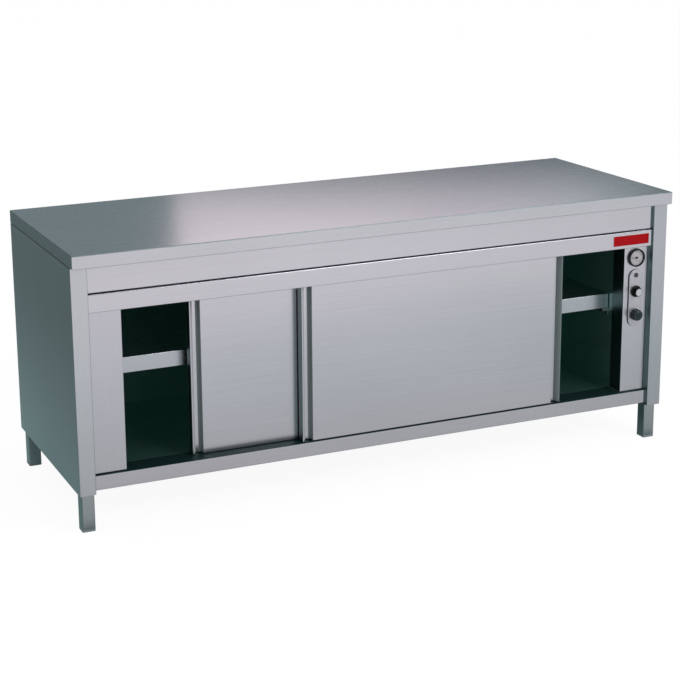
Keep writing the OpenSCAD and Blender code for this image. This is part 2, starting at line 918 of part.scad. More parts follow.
module at_right_door() {
  translate([right_door_x, front_line - door_thickness / 2, door_z])
    children();
}

// Double C track: one channel for each door, open along a slot underneath
module door_track() {
  half = channel_width / 2;
  x = [cavity_left + seat_gap, cavity_right - seat_gap];
  color([0.60, 0.61, 0.63])
    difference() {
      slab(x, [front_line - half - track_wall, rear_line + half + track_wall],
           [track_z, ceiling_z]);
      for (line = [front_line, rear_line]) {
        slab([x[0] - cut, x[1] + cut], [line - half, line + half],
             [track_z + track_wall, ceiling_z - track_wall]);
        slab([x[0] - cut, x[1] + cut], [line - track_slot / 2, line + track_slot / 2],
             [track_z - cut, track_z + track_wall + cut]);
      }
    }
}

// Fixed guide at the middle of the doorway: one fin up into each door
module door_guide() {
  x = around((cavity_left + cavity_right) / 2, guide_length / 2);
  color([0.90, 0.89, 0.85]) {
    slab(x, [front_line - guide_fin, rear_line + guide_fin], [rail_top, rail_top + guide_base]);
    for (line = [front_line, rear_line])
      slab(x, around(line, guide_fin / 2), [rail_top, rail_top + guide_height]);
  }
}

// --------------------------------------------------------------- controls

// Black case: a cup behind the panel and a bezel in front of it
module thermometer_case() {
  r = bezel_d / 2;
  rim = dial_d / 2;
  body = case_d / 2;
  floor_y = panel_y - dial_y - dial_thickness;
  color([0.07, 0.07, 0.08])
    translate([control_x, panel_y, thermometer_z]) {
      difference() {
        turned_y([[0, -case_depth], [body, -case_depth], [body, 0], [r, 0],
                  [r, bezel_height - 2], [r - 2, bezel_height], [rim, bezel_height],
                  [rim, floor_y], [0, floor_y]]);
        rod_y(pivot_d + 2 * turning_gap, around(0, case_depth / 2), small_fn);
      }
      // Stem that the sensing tube leaves by
      rod_y(stem_tube, [case_depth, case_depth + stem_length]);
    }
}

module thermometer_dial() {
  color([0.90, 0.90, 0.88])
    translate([control_x, 0, thermometer_z])
      difference() {
        rod_y(dial_d - 2 * push_gap, [dial_y, dial_y + dial_thickness], round_fn);
        rod_y(2 * pivot_d, [dial_y - cut, dial_y + dial_thickness + cut]);
      }
}

// Needle pointing left, on its hub and pivot
module thermometer_needle() {
  reach = dial_d / 2 - 5;
  color([0.05, 0.05, 0.06])
    translate([control_x, needle_y, thermometer_z]) {
      rod_y(needle_hub, around(0, needle_thickness));
      rod_y(pivot_d, [0, dial_y - needle_y + pivot_depth]);
      slab([-reach, needle_tail], around(0, needle_thickness / 2), around(0, needle_width / 2));
    }
}

module thermometer_glass() {
  color([0.80, 0.86, 0.90, 0.35])
    translate([control_x, 0, thermometer_z])
      rod_y(dial_d - 2 * push_gap, [glass_y, glass_y + glass_thickness], round_fn);
}

// Raised plate with round ends
module control_plate() {
  r = plate_width / 2;
  color([0.66, 0.67, 0.70])
    difference() {
      union() {
        slab([control_x - r, control_x + r], [plate_y, panel_y],
             [plate_top - plate_height + r, plate_top - r]);
        for (z = [plate_top - r, plate_top - plate_height + r])
          translate([control_x, 0, z])
            rod_y(plate_width, [plate_y, panel_y], round_fn);
      }
      control_holes([plate_y - cut, panel_y + cut]);
    }
}

// Pilot lamp: domed lens in front, threaded stem and two tabs behind
module pilot_lamp() {
  r = lamp_d / 2;
  color([0.35, 0.28, 0.33])
    translate([control_x, plate_y, lamp_z]) {
      turned_y([[0, -lamp_depth], [lamp_stem / 2, -lamp_depth], [lamp_stem / 2, 0], [r, 0],
                [r, 2], [r - 1.5, 4], [r - 4, 5], [0, 5.5]]);
      for (x = [-3, 3])
        slab(around(x, 0.4), [lamp_depth, lamp_depth + lamp_tab], [-2, 2]);
    }
}

// Spindle that turns in the device behind the panel
module spindle() {
  rod_y(spindle_d, [-knob_gap - knob_neck, plate_raise + panel_sheet + spindle_reach], round_fn);
}

// Thermostat knob: wide skirt, narrower grip and a metal cap
module thermostat_knob() {
  r = knob_d / 2;
  color([0.08, 0.08, 0.09])
    translate([control_x, plate_y, thermostat_z]) {
      turned_y([[0, knob_gap], [r, knob_gap], [r, 4], [r - 1, 6], [r - 5, 8],
                [r - 6, knob_height - 2], [r - 7, knob_height], [0, knob_height]]);
      spindle();
    }
}

// Switch knob: round skirt with twelve grip hollows
module switch_knob() {
  r = knob_d / 2;
  grips = 12;
  color([0.08, 0.08, 0.09])
    translate([control_x, plate_y, switch_z]) {
      difference() {
        turned_y([[0, knob_gap], [r, knob_gap], [r, knob_height - 4],
                  [r - 1.5, knob_height - 1.5], [r - 4, knob_height], [0, knob_height]]);
        for (i = [0:grips - 1])
          rotate([0, i * 360 / grips, 0])
            translate([r + knob_groove / 4, 0, 0])
              rod_y(knob_groove, [-knob_height - cut, -knob_neck - cut]);
      }
      spindle();
    }
}

// Box behind the panel with a bore for the spindle
module device_body(z, depth) {
  side = around(0, device_width / 2);
  translate([control_x, panel_back_y, z])
    difference() {
      slab(side, [0, depth], side);
      rod_y(spindle_d + 2 * turning_gap, [-cut, spindle_reach + cut], round_fn);
    }
}

// Thermostat, with its capillary running back and its bulb near the fan
module thermostat_body() {
  color([0.75, 0.72, 0.62]) {
    device_body(thermostat_z, thermostat_depth);
    translate([control_x, 0, thermostat_z]) {
      rod_y(tube_d, [panel_back_y + thermostat_depth - cut, bulb_start + cut]);
      rod_y(bulb_d, [bulb_start, bulb_start + bulb_length]);
    }
    // Clip that holds the bulb to the wall
    slab([heater_x, control_x], around(bulb_start + bulb_length / 2, bulb_clip / 2),
         around(thermostat_z, bulb_clip));
  }
}

module switch_body() {
  color([0.15, 0.15, 0.16])
    device_body(switch_z, switch_depth);
}

// ----------------------------------------------------------------- heater

// Square fan frame with its motor held on four arms at the outer side
module fan_frame() {
  side = around(0, fan_size / 2);
  arm_depth = [fan_depth - fan_arm_depth, fan_depth];
  color([0.16, 0.17, 0.18])
    translate([heater_x, fan_y, fan_z])
      difference() {
        union() {
          difference() {
            slab([0, fan_depth], side, side);
            rod_x(fan_bore, [-cut, fan_depth + cut], round_fn);
          }
          rod_x(hub_d, [fan_depth - motor_depth, fan_depth], round_fn);
          slab(arm_depth, around(0, fan_bore / 2 + cut), around(0, fan_arm / 2));
          slab(arm_depth, around(0, fan_arm / 2), around(0, fan_bore / 2 + cut));
        }
        rod_x(fan_shaft + 2 * turning_gap,
              [fan_depth - motor_depth - cut, fan_depth - fan_arm_depth / 2], round_fn);
      }
}

// Hub with its blades and shaft
module fan_impeller() {
  tip_r = fan_bore / 2 - blade_gap;
  color([0.12, 0.12, 0.13])
    translate([heater_x, fan_y, fan_z]) {
      rod_x(hub_d, [hub_start, hub_end], round_fn);
      rod_x(fan_shaft, [hub_start, fan_depth - fan_arm_depth], round_fn);
      intersection() {
        rod_x(2 * tip_r, [hub_start, hub_end], round_fn);
        for (i = [0:blade_count - 1])
          rotate([i * 360 / blade_count, 0, 0])
            translate([(hub_start + hub_end) / 2, 0, hub_d / 2 - 2])
              rotate([0, 0, blade_pitch])
                slab(around(0, blade_depth / 2), around(0, blade_thickness / 2), [0, tip_r]);
      }
    }
}

// Armoured tube bent back and forth, on two plates that stand on the wall
module heating_element() {
  color([0.42, 0.30, 0.24]) {
    translate([element_x, element_y, element_z]) {
      for (i = [0:element_runs - 1])
        translate([0, 0, i * element_pitch])
          rod_y(element_d, [0, element_run], round_fn);
      for (i = [0:element_runs - 2])
        translate([0, i % 2 == 0 ? element_run : 0, i * element_pitch + element_turn])
          rotate([0, 90, 0])
            rotate([0, 0, i % 2 == 0 ? 0 : 180])
              element_bend();
      for (z = [0, element_top - element_z])
        translate([0, 0, z])
          rod_y(element_d, [-element_tail, cut]);
    }
    for (share = [0.25, 0.75])
      slab([heater_x, element_x], around(element_y + share * element_run, element_plate / 2),
           [element_z - element_plate_margin, element_top + element_plate_margin]);
  }
}

// Half turn between two runs, opening towards -Y
module element_bend() {
  rotate_extrude(angle = 180, $fn = round_fn)
    translate([element_turn, 0])
      circle(d = element_d, $fn = small_fn);
}

// Terminal block on the cavity's back, inside the control compartment
module terminal_block() {
  depth = terminal_size[1];
  height = terminal_size[2];
  color([0.85, 0.85, 0.80])
    translate([control_x, cavity_back_y, rail_top + terminal_rise])
      difference() {
        slab(around(0, terminal_size[0] / 2), [-depth, 0], [0, height]);
        for (i = [-2:2])
          translate([i * terminal_pitch, 0, height / 2])
            rod_y(terminal_hole, [-depth - cut, -depth + terminal_depth]);
      }
}

// Gland through the base: hexagon below, thread and locknut above
module cable_gland() {
  bottom = base_z - gland_head;
  top = base_top + gland_nut + gland_end;
  color([0.12, 0.12, 0.13])
    translate([control_x, gland_y, 0])
      difference() {
        union() {
          rod_z(gland_hex, [bottom, base_z], 6);
          rod_z(gland_d, [base_z, top], round_fn);
          rod_z(gland_hex, [base_top, base_top + gland_nut], 6);
        }
        rod_z(gland_bore, [bottom - cut, top + cut], round_fn);
      }
}

// -------------------------------------------------------------------- model

worktop();
worktop_board();
at_side(true) leg(front_leg_y);  // leg_front_left
at_side(false) leg(front_leg_y);  // leg_front_right
at_side(true) leg(rear_leg_y);  // leg_rear_left
at_side(false) leg(rear_leg_y);  // leg_rear_right
leg_plugs();
at_side(true) foot(front_leg_y);  // foot_front_left
at_side(false) foot(front_leg_y);  // foot_front_right
at_side(true) foot(rear_leg_y);  // foot_rear_left
at_side(false) foot(rear_leg_y);  // foot_rear_right
at_side(true) side_panel();  // side_panel_left
at_side(false) side_panel();  // side_panel_right
back_panel();
base_panel();
base_screws();
cavity_wall_left();
cavity_wall_right();
cavity_back();
cavity_floor();
cavity_ceiling();
insulation();
apron();
fascia();
nameplate();
door_track();
bottom_rail();
door_guide();
filler_panel();
control_panel();
shelf();
shelf_brackets();
at_left_door() door_skin();  // door_left_skin
at_left_door() door_liner();  // door_left_liner
at_left_door() door_core();  // door_left_core
door_hangers(left_door_x, rear_line);  // door_left_hangers
roller_pair(left_door_x - hanger_x, rear_line);  // door_left_roller_outer
roller_pair(left_door_x + hanger_x, rear_line);  // door_left_roller_inner
at_right_door() door_skin();  // door_right_skin
at_right_door() door_liner();  // door_right_liner
at_right_door() door_core();  // door_right_core
door_hangers(right_door_x, front_line);  // door_right_hangers
roller_pair(right_door_x - hanger_x, front_line);  // door_right_roller_inner
roller_pair(right_door_x + hanger_x, front_line);  // door_right_roller_outer
thermometer_case();
thermometer_dial();
thermometer_needle();
thermometer_glass();
control_plate();
pilot_lamp();
thermostat_knob();
thermostat_body();
switch_knob();
switch_body();
fan_frame();
fan_impeller();
heating_element();
terminal_block();
cable_gland();
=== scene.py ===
# %% [markdown]
# # A heated plate cabinet
#
# The cabinet is a long stainless worktop on four square legs. Under the top are an apron, a
# fascia that hides the door track, two sliding doors that stand open, a shelf, and a control
# panel at the right. The construction comes in as fixed nodes, in metres, with Z up. They carry
# the sizes, the joints and everything that fits. This lesson gives them their surfaces: folded
# sheets with real bends, brushed steel, knobs, a dial, and a studio to see them in.
#
# Almost every piece of such a cabinet is a sheet that was cut, folded and polished. So most
# shapes here are one idea used again and again: a line with rounded corners, given the sheet's
# thickness, and drawn out along an axis.

# %% Load the construction
import math

import bmesh
import bpy
import numpy as np
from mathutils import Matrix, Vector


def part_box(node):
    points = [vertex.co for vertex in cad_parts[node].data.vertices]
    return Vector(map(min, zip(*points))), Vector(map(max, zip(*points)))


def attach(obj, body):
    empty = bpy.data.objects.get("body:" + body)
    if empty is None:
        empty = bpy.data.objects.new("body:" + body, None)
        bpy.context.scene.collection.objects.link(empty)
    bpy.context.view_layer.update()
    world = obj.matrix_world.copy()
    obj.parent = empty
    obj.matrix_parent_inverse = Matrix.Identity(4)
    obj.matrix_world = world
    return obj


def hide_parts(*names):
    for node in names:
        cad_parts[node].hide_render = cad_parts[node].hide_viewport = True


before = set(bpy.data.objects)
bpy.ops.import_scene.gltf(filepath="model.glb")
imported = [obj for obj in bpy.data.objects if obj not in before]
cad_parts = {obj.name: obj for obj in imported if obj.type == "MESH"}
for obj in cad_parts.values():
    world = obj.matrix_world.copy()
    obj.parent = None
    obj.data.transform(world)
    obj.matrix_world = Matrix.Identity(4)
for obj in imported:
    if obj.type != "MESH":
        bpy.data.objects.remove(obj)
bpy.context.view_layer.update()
MM = 0.001

# %% [markdown]
# ## The camera
#
# The photograph's camera was worked out from the corners of the worktop, the stiles and the
# legs. It stands in front of the left end, a little over a metre above the worktop, and looks
# down to the right through a long lens. The picture was cropped, so the lens's axis isn't in
# the picture's middle: the shift puts it back.

# %% Camera
camera_place = (-2.222, -4.758, 1.925)
camera_turn = (76.149, 0.982, -22.262)
camera_lens = 89.0
camera_shift = (0.1197, -0.1091)

camera = bpy.data.objects.new("camera", bpy.data.cameras.new("camera"))
bpy.context.scene.collection.objects.link(camera)
camera.location = camera_place
camera.rotation_euler = [math.radians(a) for a in camera_turn]
camera.data.sensor_width = 36
camera.data.lens = camera_lens
camera.data.shift_x, camera.data.shift_y = camera_shift
camera.data.clip_end = 200
bpy.context.scene.camera = camera
bpy.context.scene.view_settings.view_transform = "Standard"
print("camera at", camera_place)

# %% [markdown]
# ## Colours, written as they are seen
#
# A colour picker gives numbers from 0 to 255 on a curve that suits the eye. A shader works
# with amounts of light. This helper turns the first into the second, so that every colour
# below can be written the way it is read off a swatch.

# %% Colour helper
def tone(red, green, blue):
    """Screen colour (0 to 255) to light: the usual curve, a power of 2.4 with a straight foot."""
    seen = np.array([red, green, blue]) / 255
    light = np.where(seen <= 0.04045, seen / 12.92, ((seen + 0.055) / 1.055) ** 2.4)
    return (*light.tolist(), 1.0)


print("mid grey", tone(128, 128, 128))

# %% [markdown]
# ## Wiring a material
#
# A material is a small graph of nodes. These helpers keep the graphs readable: one adds a node
# and sets its inputs, one starts a material with its shader, one measures the place on the
# piece, and one links the finished colour, roughness and bump to the shader. Object coordinates
# are used everywhere, so a pattern stays on its piece when a door slides, and runs on from sheet
# to sheet at the same scale.

# %% Node helpers
def node(tree, kind, inputs=None, **settings):
    """Adds one node, sets its properties, then its inputs: a value, or the socket to link."""
    made = tree.nodes.new(kind)
    for key, value in settings.items():
        setattr(made, key, value)
    for key, value in (inputs or {}).items():
        if isinstance(value, bpy.types.NodeSocket):
            tree.links.new(value, made.inputs[key])
        else:
            made.inputs[key].default_value = value
    return made


def start_material(name, **shader_inputs):
    """A material with a Principled shader, and the inputs that are even all over it."""
    material = bpy.data.materials.new(name)
    material.use_nodes = True
    shader = material.node_tree.nodes["Principled BSDF"]
    for key, value in shader_inputs.items():
        shader.inputs[key.replace("_", " ")].default_value = value
    return material, material.node_tree


def place_on_piece(tree, scale):
    """Object coordinates, stretched: scale is how many cells fit in a metre along X, Y, Z."""
    place = node(tree, "ShaderNodeTexCoord").outputs["Object"]
    return node(tree, "ShaderNodeMapping", {"Vector": place, "Scale": scale}).outputs["Vector"]


def noise(tree, scale, detail=2.0, roughness=0.5):
    """Cloudy noise from 0 to 1 on the piece, with cells stretched by scale."""
    where = place_on_piece(tree, scale)
    inputs = {"Vector": where, "Scale": 1.0, "Detail": detail, "Roughness": roughness}
    return node(tree, "ShaderNodeTexNoise", inputs).outputs["Fac"]


def spread(tree, value, low, high, start=0.3, end=0.7):
    """Stretches a value from start to end over low to high, and stops at both. Noise stays
    near its middle, so 0.3 to 0.7 is the part of it that is used."""
    inputs = {"Value": value, "From Min": start, "From Max": end, "To Min": low, "To Max": high}
    return node(tree, "ShaderNodeMapRange", inputs).outputs["Result"]


def shade(tree, colour, *amounts):
    """A colour multiplied by one or more amounts, which lie around 1."""
    result = node(tree, "ShaderNodeRGB")
    result.outputs[0].default_value = colour
    socket = result.outputs[0]
    for amount in amounts:
        inputs = {0: socket, "Scale": amount}
        socket = node(tree, "ShaderNodeVectorMath", inputs, operation="SCALE").outputs[0]
    return socket


def dress(material, colour, rough, height=None, depth=0.0, relief=0.1 * MM):
    """Links a colour, a roughness and, where a height is given, a bump to the shader."""
    tree = material.node_tree
    shader = tree.nodes["Principled BSDF"]
    tree.links.new(colour, shader.inputs["Base Color"])
    tree.links.new(rough, shader.inputs["Roughness"])
    if height:
        inputs = {"Height": height, "Strength": depth, "Distance": relief}
        bump = node(tree, "ShaderNodeBump", inputs)
        tree.links.new(bump.outputs["Normal"], shader.inputs["Normal"])
    return material


print("node helpers ready")

# %% [markdown]
# ## Brushed steel
#
# Catering steel is ground with a belt, which leaves fine scratches in one direction. Seen from
# a few metres the scratches merge into a soft sheen, with a few longer streaks and faint
# clouds from handling and rolling. Three noises do this: one drawn out very long and thin for
# the scratches, one wider for the streaks, and an even one for the clouds. The scratches also
# go into the bump, where they spread a reflection across the grain as real ones do.
#
# The worktop, the front and the sides are polished. Some steels carry painted light and shade. A darker
# teal steel is painted shade on walls that face away from the light, and a greyer one is painted shade
# along the worktop's top bend. The top of the bottom rail is painted almost black, as the shade it lies
# in, and the right side's steel is a darker copy, painted shade. The two steels for the doors' grooves,
# one painted lit and one painted in shade, have hardly any mirror in them, so each slope keeps one even
# tone whatever stands in front of it.

# %% Brushed steel
def along_grain(along, across):
    """Noise cells per metre for each grain direction: few along it, many across it."""
    return {"x": (along, across, across), "y": (across, along, across), "z": (across, across, along)}


GRAIN = along_grain(9, 2400)
STREAK = along_grain(1.2, 220)
CLOUD = (2.3, 2.3, 2.3)


def brushed_steel(name, colour, grain="x", roughness=0.3, depth=0.05, contrast=1.0, metal=1.0,
                  **more):
    """Metal whose colour, roughness and bump follow a scratch noise along the grain."""
    material, tree = start_material(name, Metallic=metal, **more)
    scratch = noise(tree, GRAIN[grain], 3, 0.6)
    streak = noise(tree, STREAK[grain], 2)
    cloud = noise(tree, CLOUD, 4, 0.55)
    lightness = [spread(tree, value, 1 - share * contrast, 1 + share * contrast)
                 for value, share in ((scratch, 0.04), (streak, 0.015), (cloud, 0.02))]
    rough = spread(tree, scratch, roughness - 0.03, roughness + 0.03)
    return dress(material, shade(tree, colour, *lightness), rough, scratch, depth)


panel_steel = brushed_steel("panel_steel", tone(206, 203, 210), "x", 0.24)
upright_steel = brushed_steel("upright_steel", tone(206, 203, 210), "z")
worktop_steel = brushed_steel("worktop_steel", tone(203, 202, 208), "x", 0.26)
side_steel = brushed_steel("side_steel", tone(203, 203, 208), "z", 0.3)
# Painted shade: the same steel as the left side, painted darker for the right side.
right_shade_steel = brushed_steel("right_shade_steel", tone(192, 193, 199), "z", 0.3)
leg_steel = brushed_steel("leg_steel", tone(176, 181, 184), "z", 0.3)
shelf_steel = brushed_steel("shelf_steel", tone(194, 195, 201), "x", 0.28, 0.02)
# Painted shade: a darker teal steel for walls that face away from the light.
dark_shade_steel = brushed_steel("dark_shade_steel", tone(104, 126, 125), "z", 0.36)
# Painted shade along the worktop's top bend, in place of a highlight.
edge_shade_steel = brushed_steel("edge_shade_steel", tone(140, 152, 153), "x", 0.36)
# Painted shade: the top of the bottom rail, painted almost black as the shade under the doors.
ledge_shade_steel = brushed_steel("ledge_shade_steel", tone(24, 48, 47), "x", 0.5, metal=0.0,
                            Specular_IOR_Level=0.15)
# Painted light and painted shade for the doors' grooves: the pale steel for the slope that faces right,
# the grey steel for the wall, floor strip and slope in shade.
lit_slope_steel = brushed_steel("lit_slope_steel", tone(196, 196, 202), "z", 0.5, metal=0.1)
shade_steel = brushed_steel("shade_steel", tone(132, 142, 143), "z", 0.5, metal=0.3)
print("steels:", [m.name for m in bpy.data.materials if "steel" in m.name])

# %% [markdown]
# ## The lining in painted shade, zinc, and rolled aluminium
#
# No lamp reaches into the inside of such a cabinet, so the lining is painted as a darker teal steel, a
# painted shade, with a very faint painted glow in place of the light that bounces many times between its
# walls. The right wall is almost a mirror: it shows the shelf a second time. Brackets, hangers and
# screws are zinc plated, which shows as a fine patchwork of crystals, so those use cell noise where the
# steels use scratches.

# %% Lining, zinc and aluminium
def dark_lining(name, colour, roughness):
    """Metal painted dark as shade, with a faint painted glow: a slow stain over the sheet, a little
    rougher where it is darker.
    """
    # Painted light: a faint glow in place of light that bounces inside.
    glow = {"Emission_Color": tone(5, 20, 17), "Emission_Strength": 1.0}
    material, tree = start_material(name, Metallic=0.85, **glow)
    stain = noise(tree, (5, 5, 5), 5, 0.6)
    scratch = noise(tree, GRAIN["y"], 2)
    lightness = (spread(tree, stain, 0.8, 1.2), spread(tree, scratch, 0.93, 1.07))
    rough = spread(tree, stain, roughness + 0.03, roughness - 0.03)
    return dress(material, shade(tree, colour, *lightness), rough)


def zinc_plate(name, colour, cells=260, roughness=0.42):
    """Plated steel: each crystal, a Voronoi cell, has its own lightness and roughness."""
    material, tree = start_material(name, Metallic=1.0)
    where = place_on_piece(tree, (cells, cells, cells))
    inputs = {"Vector": where, "Scale": 1.0, "Randomness": 1.0}
    crystal = node(tree, "ShaderNodeTexVoronoi", inputs).outputs["Color"]
    value = node(tree, "ShaderNodeSeparateColor", {"Color": crystal}).outputs["Red"]
    lightness = spread(tree, value, 0.85, 1.12, 0, 1)
    rough = spread(tree, value, roughness - 0.08, roughness + 0.08, 0, 1)
    return dress(material, shade(tree, colour, lightness), rough)


# Both linings are painted shade with a painted glow.
lining = dark_lining("lining", tone(88, 118, 112), 0.5)
lining_wall = dark_lining("lining_wall", tone(120, 146, 142), 0.1)
zinc = zinc_plate("zinc", tone(150, 158, 160))
galvanised = zinc_plate("galvanised", tone(148, 154, 158), 60, 0.5)
aluminium = brushed_steel("aluminium", tone(176, 178, 182), "x", 0.34)
element_metal = brushed_steel("element_metal", tone(112, 84, 70), "y", 0.5, 0.2, 2.0)
print("linings and metals:", [m.name for m in (lining, lining_wall, zinc, galvanised, aluminium)])

# %% [markdown]
# ## Plastics, rubber, paint, glass, board and wool
#
# Moulded plastic has a fine even grain from its mould, which a small noise in the bump gives.
# A lens or a painted plate is smooth, with only faint unevenness in its gloss. Board shows
# chips, and mineral wool shows fibres: both are noise at the size of what the eye sees.

# %% Other materials
def moulded(name, colour, roughness=0.45, grain=2500, depth=0.15, **more):
    """Plastic, rubber or paint: even colour with faint mottling, and a fine mould grain."""
    material, tree = start_material(name, **more)
    mottle = noise(tree, (60, 60, 60), 3)
    mould = noise(tree, (grain, grain, grain), 2)
    lightness = spread(tree, mottle, 0.94, 1.06)
    rough = spread(tree, mottle, roughness - 0.04, roughness + 0.04)
    return dress(material, shade(tree, colour, lightness), rough, mould, depth, 0.2 * MM)


def fibrous(name, colour, cell, contrast):
    """Board or wool: chips or fibres as noise cells of the given number per metre."""
    material, tree = start_material(name)
    chips = noise(tree, cell, 4, 0.65)
    lightness = spread(tree, chips, 1 - contrast, 1 + contrast)
    rough = spread(tree, chips, 0.75, 0.95)
    return dress(material, shade(tree, colour, lightness), rough, chips, 0.5, MM)


black_plastic = moulded("black_plastic", tone(12, 22, 22), 0.42, Specular_IOR_Level=0.25)
switch_plastic = moulded("switch_plastic", tone(38, 50, 52), 0.42, 1800, 0.1,
                         Specular_IOR_Level=0.2)
knob_plastic = moulded("knob_plastic", tone(5, 11, 11), 0.36, 1800, 0.1,
                       Specular_IOR_Level=0.14)
dark_plastic = moulded("dark_plastic", tone(44, 46, 48), 0.5)
foot_plastic = moulded("foot_plastic", tone(128, 140, 147), 0.4)
nylon = moulded("nylon", tone(224, 222, 212), 0.4)
ceramic = moulded("ceramic", tone(214, 208, 194), 0.35, 900, 0.1)
plate_silver = moulded("plate_silver", tone(196, 192, 199), 0.36, 3000, 0.1, Metallic=0.8)
badge_red = moulded("badge_red", tone(164, 6, 16), 0.4, 1200, 0.05, Specular_IOR_Level=0.1)
dial_white = moulded("dial_white", tone(226, 222, 227), 0.5, 1500, 0.05)
print_black = moulded("print_black", tone(22, 22, 24), 0.5, 1500, 0.05)
mark_white = moulded("mark_white", tone(232, 232, 230), 0.5, 1500, 0.05)
lamp_lens = moulded("lamp_lens", tone(84, 72, 82), 0.2, 800, 0.04, Specular_IOR_Level=0.3)
board = fibrous("board", tone(196, 170, 128), (300, 300, 700), 0.25)
wool = fibrous("wool", tone(214, 200, 140), (90, 90, 900), 0.2)
foam = fibrous("foam", tone(222, 216, 196), (900, 900, 900), 0.08)

glass, glass_tree = start_material("dial_glass", Alpha=0.12, Specular_IOR_Level=0.5)
glass_dust = spread(glass_tree, noise(glass_tree, (40, 40, 40), 3), 0.01, 0.04)
dress(glass, shade(glass_tree, tone(40, 46, 48)), glass_dust)
print("materials:", len(bpy.data.materials))

# %% [markdown]
# ## From points to a piece
#
# Every new piece goes through one door. It takes arrays of points and faces, merges points that fall
# together where a corner is pinched, turns all faces outwards, and marks edges sharper than a bend's
# small steps as sharp. Weighted normals then keep the large flats truly flat beside the narrow bends.
# The object stays at the origin: its place is in its points. A second helper gives another finish to
# faces that a rule picks, such as walls painted in shade.

# %% Piece maker
def add_piece(name, shapes, material, body="cabinet", stands_for=()):
    """Joins shapes, each (points, faces), into one object that rides on a body."""
    points, faces, start = [], [], 0
    for shape_points, shape_faces in shapes:
        points.append(np.asarray(shape_points, float))
        faces += [[i + start for i in face] for face in shape_faces]
        start += len(shape_points)
    mesh = bpy.data.meshes.new(name)
    mesh.from_pydata(np.concatenate(points).tolist(), [], faces)
    tidy = bmesh.new()
    tidy.from_mesh(mesh)
    bmesh.ops.remove_doubles(tidy, verts=tidy.verts, dist=2e-6)
    bmesh.ops.dissolve_degenerate(tidy, edges=tidy.edges, dist=1e-7)
    bmesh.ops.recalc_face_normals(tidy, faces=tidy.faces)
    tidy.to_mesh(mesh)
    tidy.free()
    mesh.shade_smooth()
    mesh.set_sharp_from_angle(angle=math.radians(35))
    piece = bpy.data.objects.new(name, mesh)
    bpy.context.scene.collection.objects.link(piece)
    piece.data.materials.append(material)
    weigh = piece.modifiers.new("flat faces first", "WEIGHTED_NORMAL")
    weigh.keep_sharp = True
    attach(piece, body)
    if stands_for:
        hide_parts(*stands_for)
    print(f"{name}: {len(mesh.polygons)} faces on {body}")
    return piece


def leave_unpolished(piece, rule, finish=dark_shade_steel):
    """Paints shade, and in one place light, onto the faces that rule picks, as another steel.

    The rule gets the faces' middles and normals. Faces that an earlier rule picked keep theirs,
    unless this one picks them too."""
    mesh = piece.data
    middle = np.zeros(len(mesh.polygons) * 3)
    normal = np.zeros(len(mesh.polygons) * 3)
    mesh.polygons.foreach_get("center", middle)
    mesh.polygons.foreach_get("normal", normal)
    slots = np.zeros(len(mesh.polygons), np.int32)
    mesh.polygons.foreach_get("material_index", slots)
    slots[rule(middle.reshape(-1, 3), normal.reshape(-1, 3))] = len(mesh.materials)
    mesh.materials.append(finish)
    mesh.polygons.foreach_set("material_index", slots)
    mesh.update()


def corners(name):
    """Lowest and highest corner of a node, as arrays in metres."""
    low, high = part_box(name)
    return np.array(low), np.array(high)


FACES_TO, SQUARE_TO = 0.7, 0.95
print("a face looks roughly or squarely along an axis past a share of", FACES_TO, SQUARE_TO)

# %% [markdown]
# ## A folded sheet
#
# A press brake turns a flat sheet into a profile with rounded corners. Its radius is about the
# sheet's own thickness on the inside, and one thickness more on the outside. So a fold is
# drawn as a line through its corners: each corner becomes an arc that touches both straight
# parts, and the sheet's other face is the same line moved sideways by the thickness. A corner
# that turns the other way has its small radius on the drawn face instead. The doors and the
# panels beside them are folded over a sharper tool, which leaves no soft band along an edge.

# %% Fold and draw out
def fold(points, thickness, inner, steps=6):
    """Two lines, the drawn face and the face one thickness to its left, with arcs at corners.

    For a corner with turn a, an arc of radius r starts r * tan(a / 2) before it, and its
    centre lies r to the side it turns to."""
    line = np.asarray(points, float)
    step = np.diff(line, axis=0)
    along = step / np.linalg.norm(step, axis=1)[:, None]
    left = np.stack([-along[:, 1], along[:, 0]], axis=1)
    before, after, out = along[:-1], along[1:], left[:-1]
    cross = before[:, 0] * after[:, 1] - before[:, 1] * after[:, 0]
    turn = np.arctan2(cross, (before * after).sum(axis=1))
    side = np.sign(turn)
    radius = np.where(side > 0, inner + thickness, inner)
    reach = radius * np.tan(np.abs(turn) / 2)
    centre = line[1:-1] - before * reach[:, None] + out * (side * radius)[:, None]
    angle = turn[:, None] * np.linspace(0, 1, steps + 1)[None, :]
    cos, sin = np.cos(angle)[..., None], np.sin(angle)[..., None]
    normal = out[:, None, :] * cos - before[:, None, :] * sin
    arcs = centre[:, None, :] - normal * (side * radius)[:, None, None]
    face = np.concatenate([line[:1], arcs.reshape(-1, 2), line[-1:]])
    normals = np.concatenate([left[:1], normal.reshape(-1, 2), left[-1:]])
    return face, face + thickness * normals


def skin(rings, around):
    """Quads over rings of points: point i of ring k, the next point, and both on ring k + 1."""
    k, i = np.meshgrid(np.arange(rings - 1), np.arange(around), indexing="ij")
    j = (i + 1) % around
    above = k * around + around
    quads = np.stack([k * around + i, k * around + j, above + j, above + i], axis=-1)
    return quads.reshape(-1, 4).tolist()


def draw_out(face, back, axis, low, high):
    """Carries a folded section straight along an axis: 'x' for (y, z), 'z' for (x, y) lines."""
    ring = np.concatenate([face, back[::-1]])
    count = len(ring)
    ends = np.repeat([low, high], count)[:, None]
    twice = np.concatenate([ring, ring])
    points = np.hstack([ends, twice]) if axis == "x" else np.hstack([twice, ends])
    k = np.arange(len(face) - 1)
    caps = np.stack([k, k + 1, count - 2 - k, count - 1 - k], axis=1)
    return points, skin(2, count) + caps.tolist() + (caps + count).tolist()


